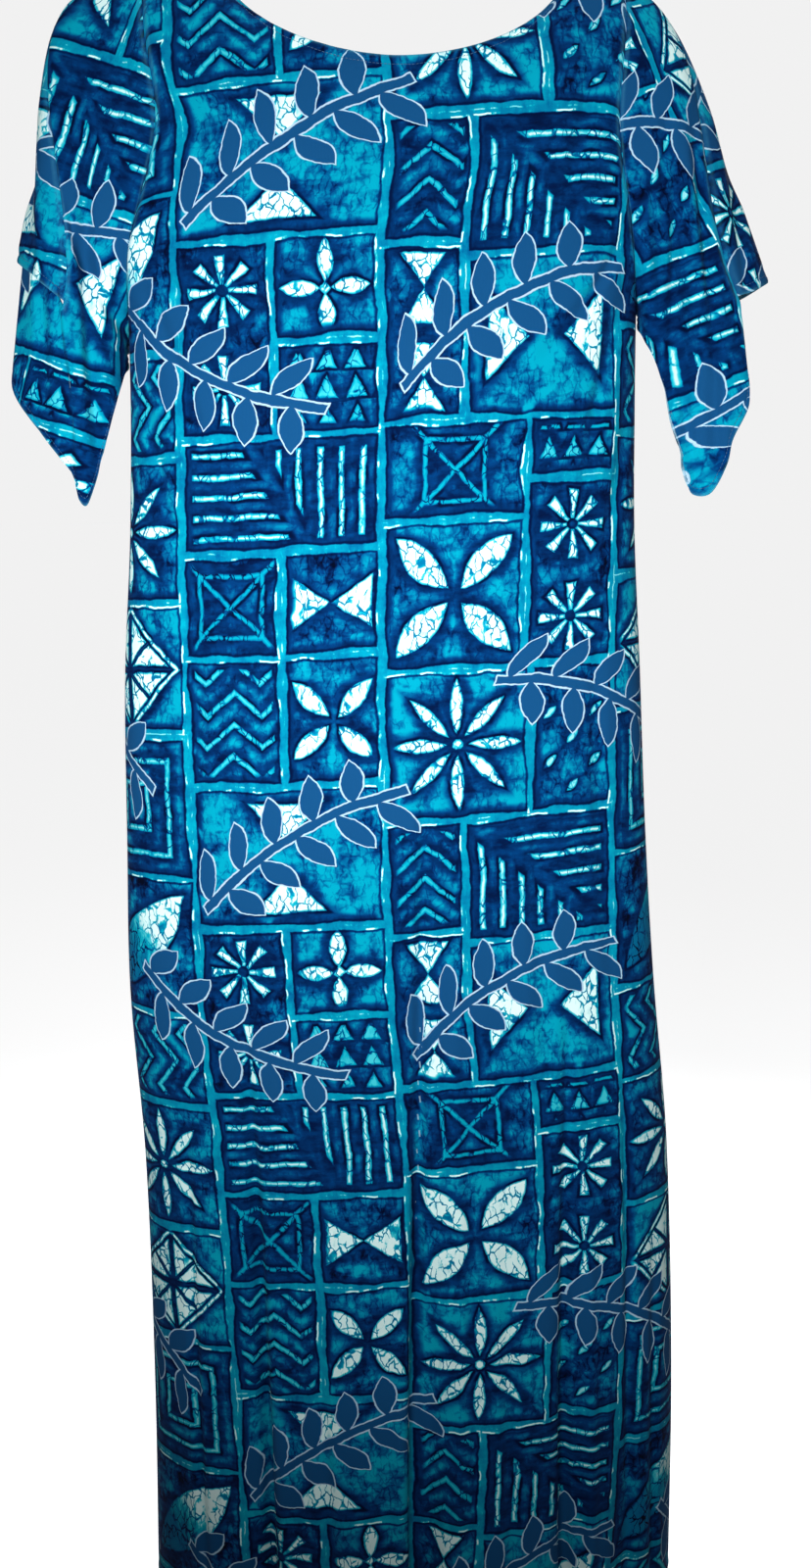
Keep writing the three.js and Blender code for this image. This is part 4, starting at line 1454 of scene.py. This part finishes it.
printed = paint(print_tree, printed, LEAF_LINE, rise(abs(fern - OUTLINE_AT), *OUTLINE))
feed(print_out.inputs["Color"], printed)
print("the print has", len(print_tree.nodes), "nodes")

# %% [markdown]
# The cloth itself is a plain-woven cotton: matt, with a faint sheen, and paler on the wrong side, where
# the dye has only half come through. The weave is a bump of fine ribs and slubs, too fine to model.

# %% The two sides of the cotton
THREAD = 0.55
THREAD_SHARE = 0.4
SLUB_SIZE = 3
WEAVE_DEPTH = 0.00024
WEAVE_STRENGTH = 0.35
ROUGHNESS = 0.85
SHEEN = 0.008
GLOSS = 0.02
# The colour of the paler mark: abrasion and painted highlight on edges and beside seams.
WEAR_AND_HIGHLIGHT_COLOR = (0.05, 0.26, 0.38, 1)
PATCHY_WEAR_AND_HIGHLIGHT_SIZE = 5
BARE_CLOTH = (0.32, 0.5, 0.58, 1)


def wave_scale(pitch):
    """The scale at which a Wave texture repeats every pitch mm."""
    return 1 / (pitch * MM) / 20 * math.pi


def cotton(name, washed_out):
    """washed_out is how far the dye pales towards the wrong side's bare cloth."""
    material = bpy.data.materials.new(name)
    material.use_nodes = True
    tree = material.node_tree
    nodes, links = tree.nodes, tree.links
    shader = nodes["Principled BSDF"]
    shader.inputs["Roughness"].default_value = ROUGHNESS
    shader.inputs["Sheen Weight"].default_value = SHEEN
    shader.inputs["Specular IOR Level"].default_value = GLOSS
    place = nodes.new("ShaderNodeUVMap")
    place.uv_map = "flat cloth"
    block_print = nodes.new("ShaderNodeGroup")
    block_print.node_tree = print_tree
    links.new(place.outputs["UV"], block_print.inputs["Place"])
    pale = paint(tree, block_print.outputs["Color"], BARE_CLOTH, washed_out)
    # The paler mark of abrasion and painted highlight, broken into patches by a noise.
    wear_and_highlight = nodes.new("ShaderNodeAttribute")
    wear_and_highlight.attribute_name = "wear_and_highlight"
    patchy_wear_and_highlight = nodes.new("ShaderNodeTexNoise")
    patchy_wear_and_highlight.inputs["Scale"].default_value = 1 / (PATCHY_WEAR_AND_HIGHLIGHT_SIZE * MM)
    links.new(place.outputs["UV"], patchy_wear_and_highlight.inputs["Vector"])
    share = nodes.new("ShaderNodeMath")
    share.operation = "MULTIPLY"
    links.new(wear_and_highlight.outputs["Fac"], share.inputs[0])
    links.new(patchy_wear_and_highlight.outputs["Fac"], share.inputs[1])
    links.new(paint(tree, pale, WEAR_AND_HIGHLIGHT_COLOR, share.outputs["Value"]), shader.inputs["Base Color"])
    weave = nodes.new("ShaderNodeTexWave")
    weave.wave_profile = "SIN"
    weave.inputs["Scale"].default_value = wave_scale(THREAD)
    links.new(place.outputs["UV"], weave.inputs["Vector"])
    slubs = nodes.new("ShaderNodeTexNoise")
    slubs.inputs["Scale"].default_value = 1 / (SLUB_SIZE * MM)
    slubs.inputs["Detail"].default_value = 3
    links.new(place.outputs["UV"], slubs.inputs["Vector"])
    height = nodes.new("ShaderNodeMath")
    height.operation = "MULTIPLY_ADD"
    height.inputs[1].default_value = THREAD_SHARE
    links.new(weave.outputs["Fac"], height.inputs[0])
    links.new(slubs.outputs["Fac"], height.inputs[2])
    bump = nodes.new("ShaderNodeBump")
    bump.inputs["Distance"].default_value = WEAVE_DEPTH
    bump.inputs["Strength"].default_value = WEAVE_STRENGTH
    links.new(height.outputs["Value"], bump.inputs["Height"])
    links.new(bump.outputs["Normal"], shader.inputs["Normal"])
    return material


right_side = cotton("printed cotton", 0.0)
wrong_side = cotton("wrong side of the cotton", 0.55)
print("materials:", right_side.name, "and", wrong_side.name)

# %% [markdown]
# The sewing thread is a dark blue to match the ground. It is twisted from strands, and a fine wave across
# each stitch paints their slanting gleam and shade into its colour.

# %% Sewing thread
PLY = 0.5
# Painted shade and painted gleam of the twisted strands, laid into the thread's colour.
THREAD_PAINTED_SHADE = (0.003, 0.03, 0.09, 1)
THREAD_PAINTED_GLEAM = (0.012, 0.09, 0.2, 1)
THREAD_ROUGHNESS = 0.5

thread = bpy.data.materials.new("sewing thread")
thread.use_nodes = True
nodes, links = thread.node_tree.nodes, thread.node_tree.links
twist_place = nodes.new("ShaderNodeTexCoord")
twist = nodes.new("ShaderNodeTexWave")
twist.bands_direction = "DIAGONAL"
twist.inputs["Scale"].default_value = wave_scale(PLY)
links.new(twist_place.outputs["Object"], twist.inputs["Vector"])
painted_ply_gleam = paint(thread.node_tree, THREAD_PAINTED_SHADE, THREAD_PAINTED_GLEAM, twist.outputs["Fac"])
links.new(painted_ply_gleam, nodes["Principled BSDF"].inputs["Base Color"])
nodes["Principled BSDF"].inputs["Roughness"].default_value = THREAD_ROUGHNESS
print("thread:", thread.name)

# %% [markdown]
# The six pieces ride on the one body of the imported model, and each stands for its own solid there, which
# is hidden.

# %% Ride and replace
for node, piece in {**panels, **sleeves}.items():
    for material in (right_side, wrong_side, thread):
        piece.data.materials.append(material)
    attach(piece, "root")
    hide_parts(node)
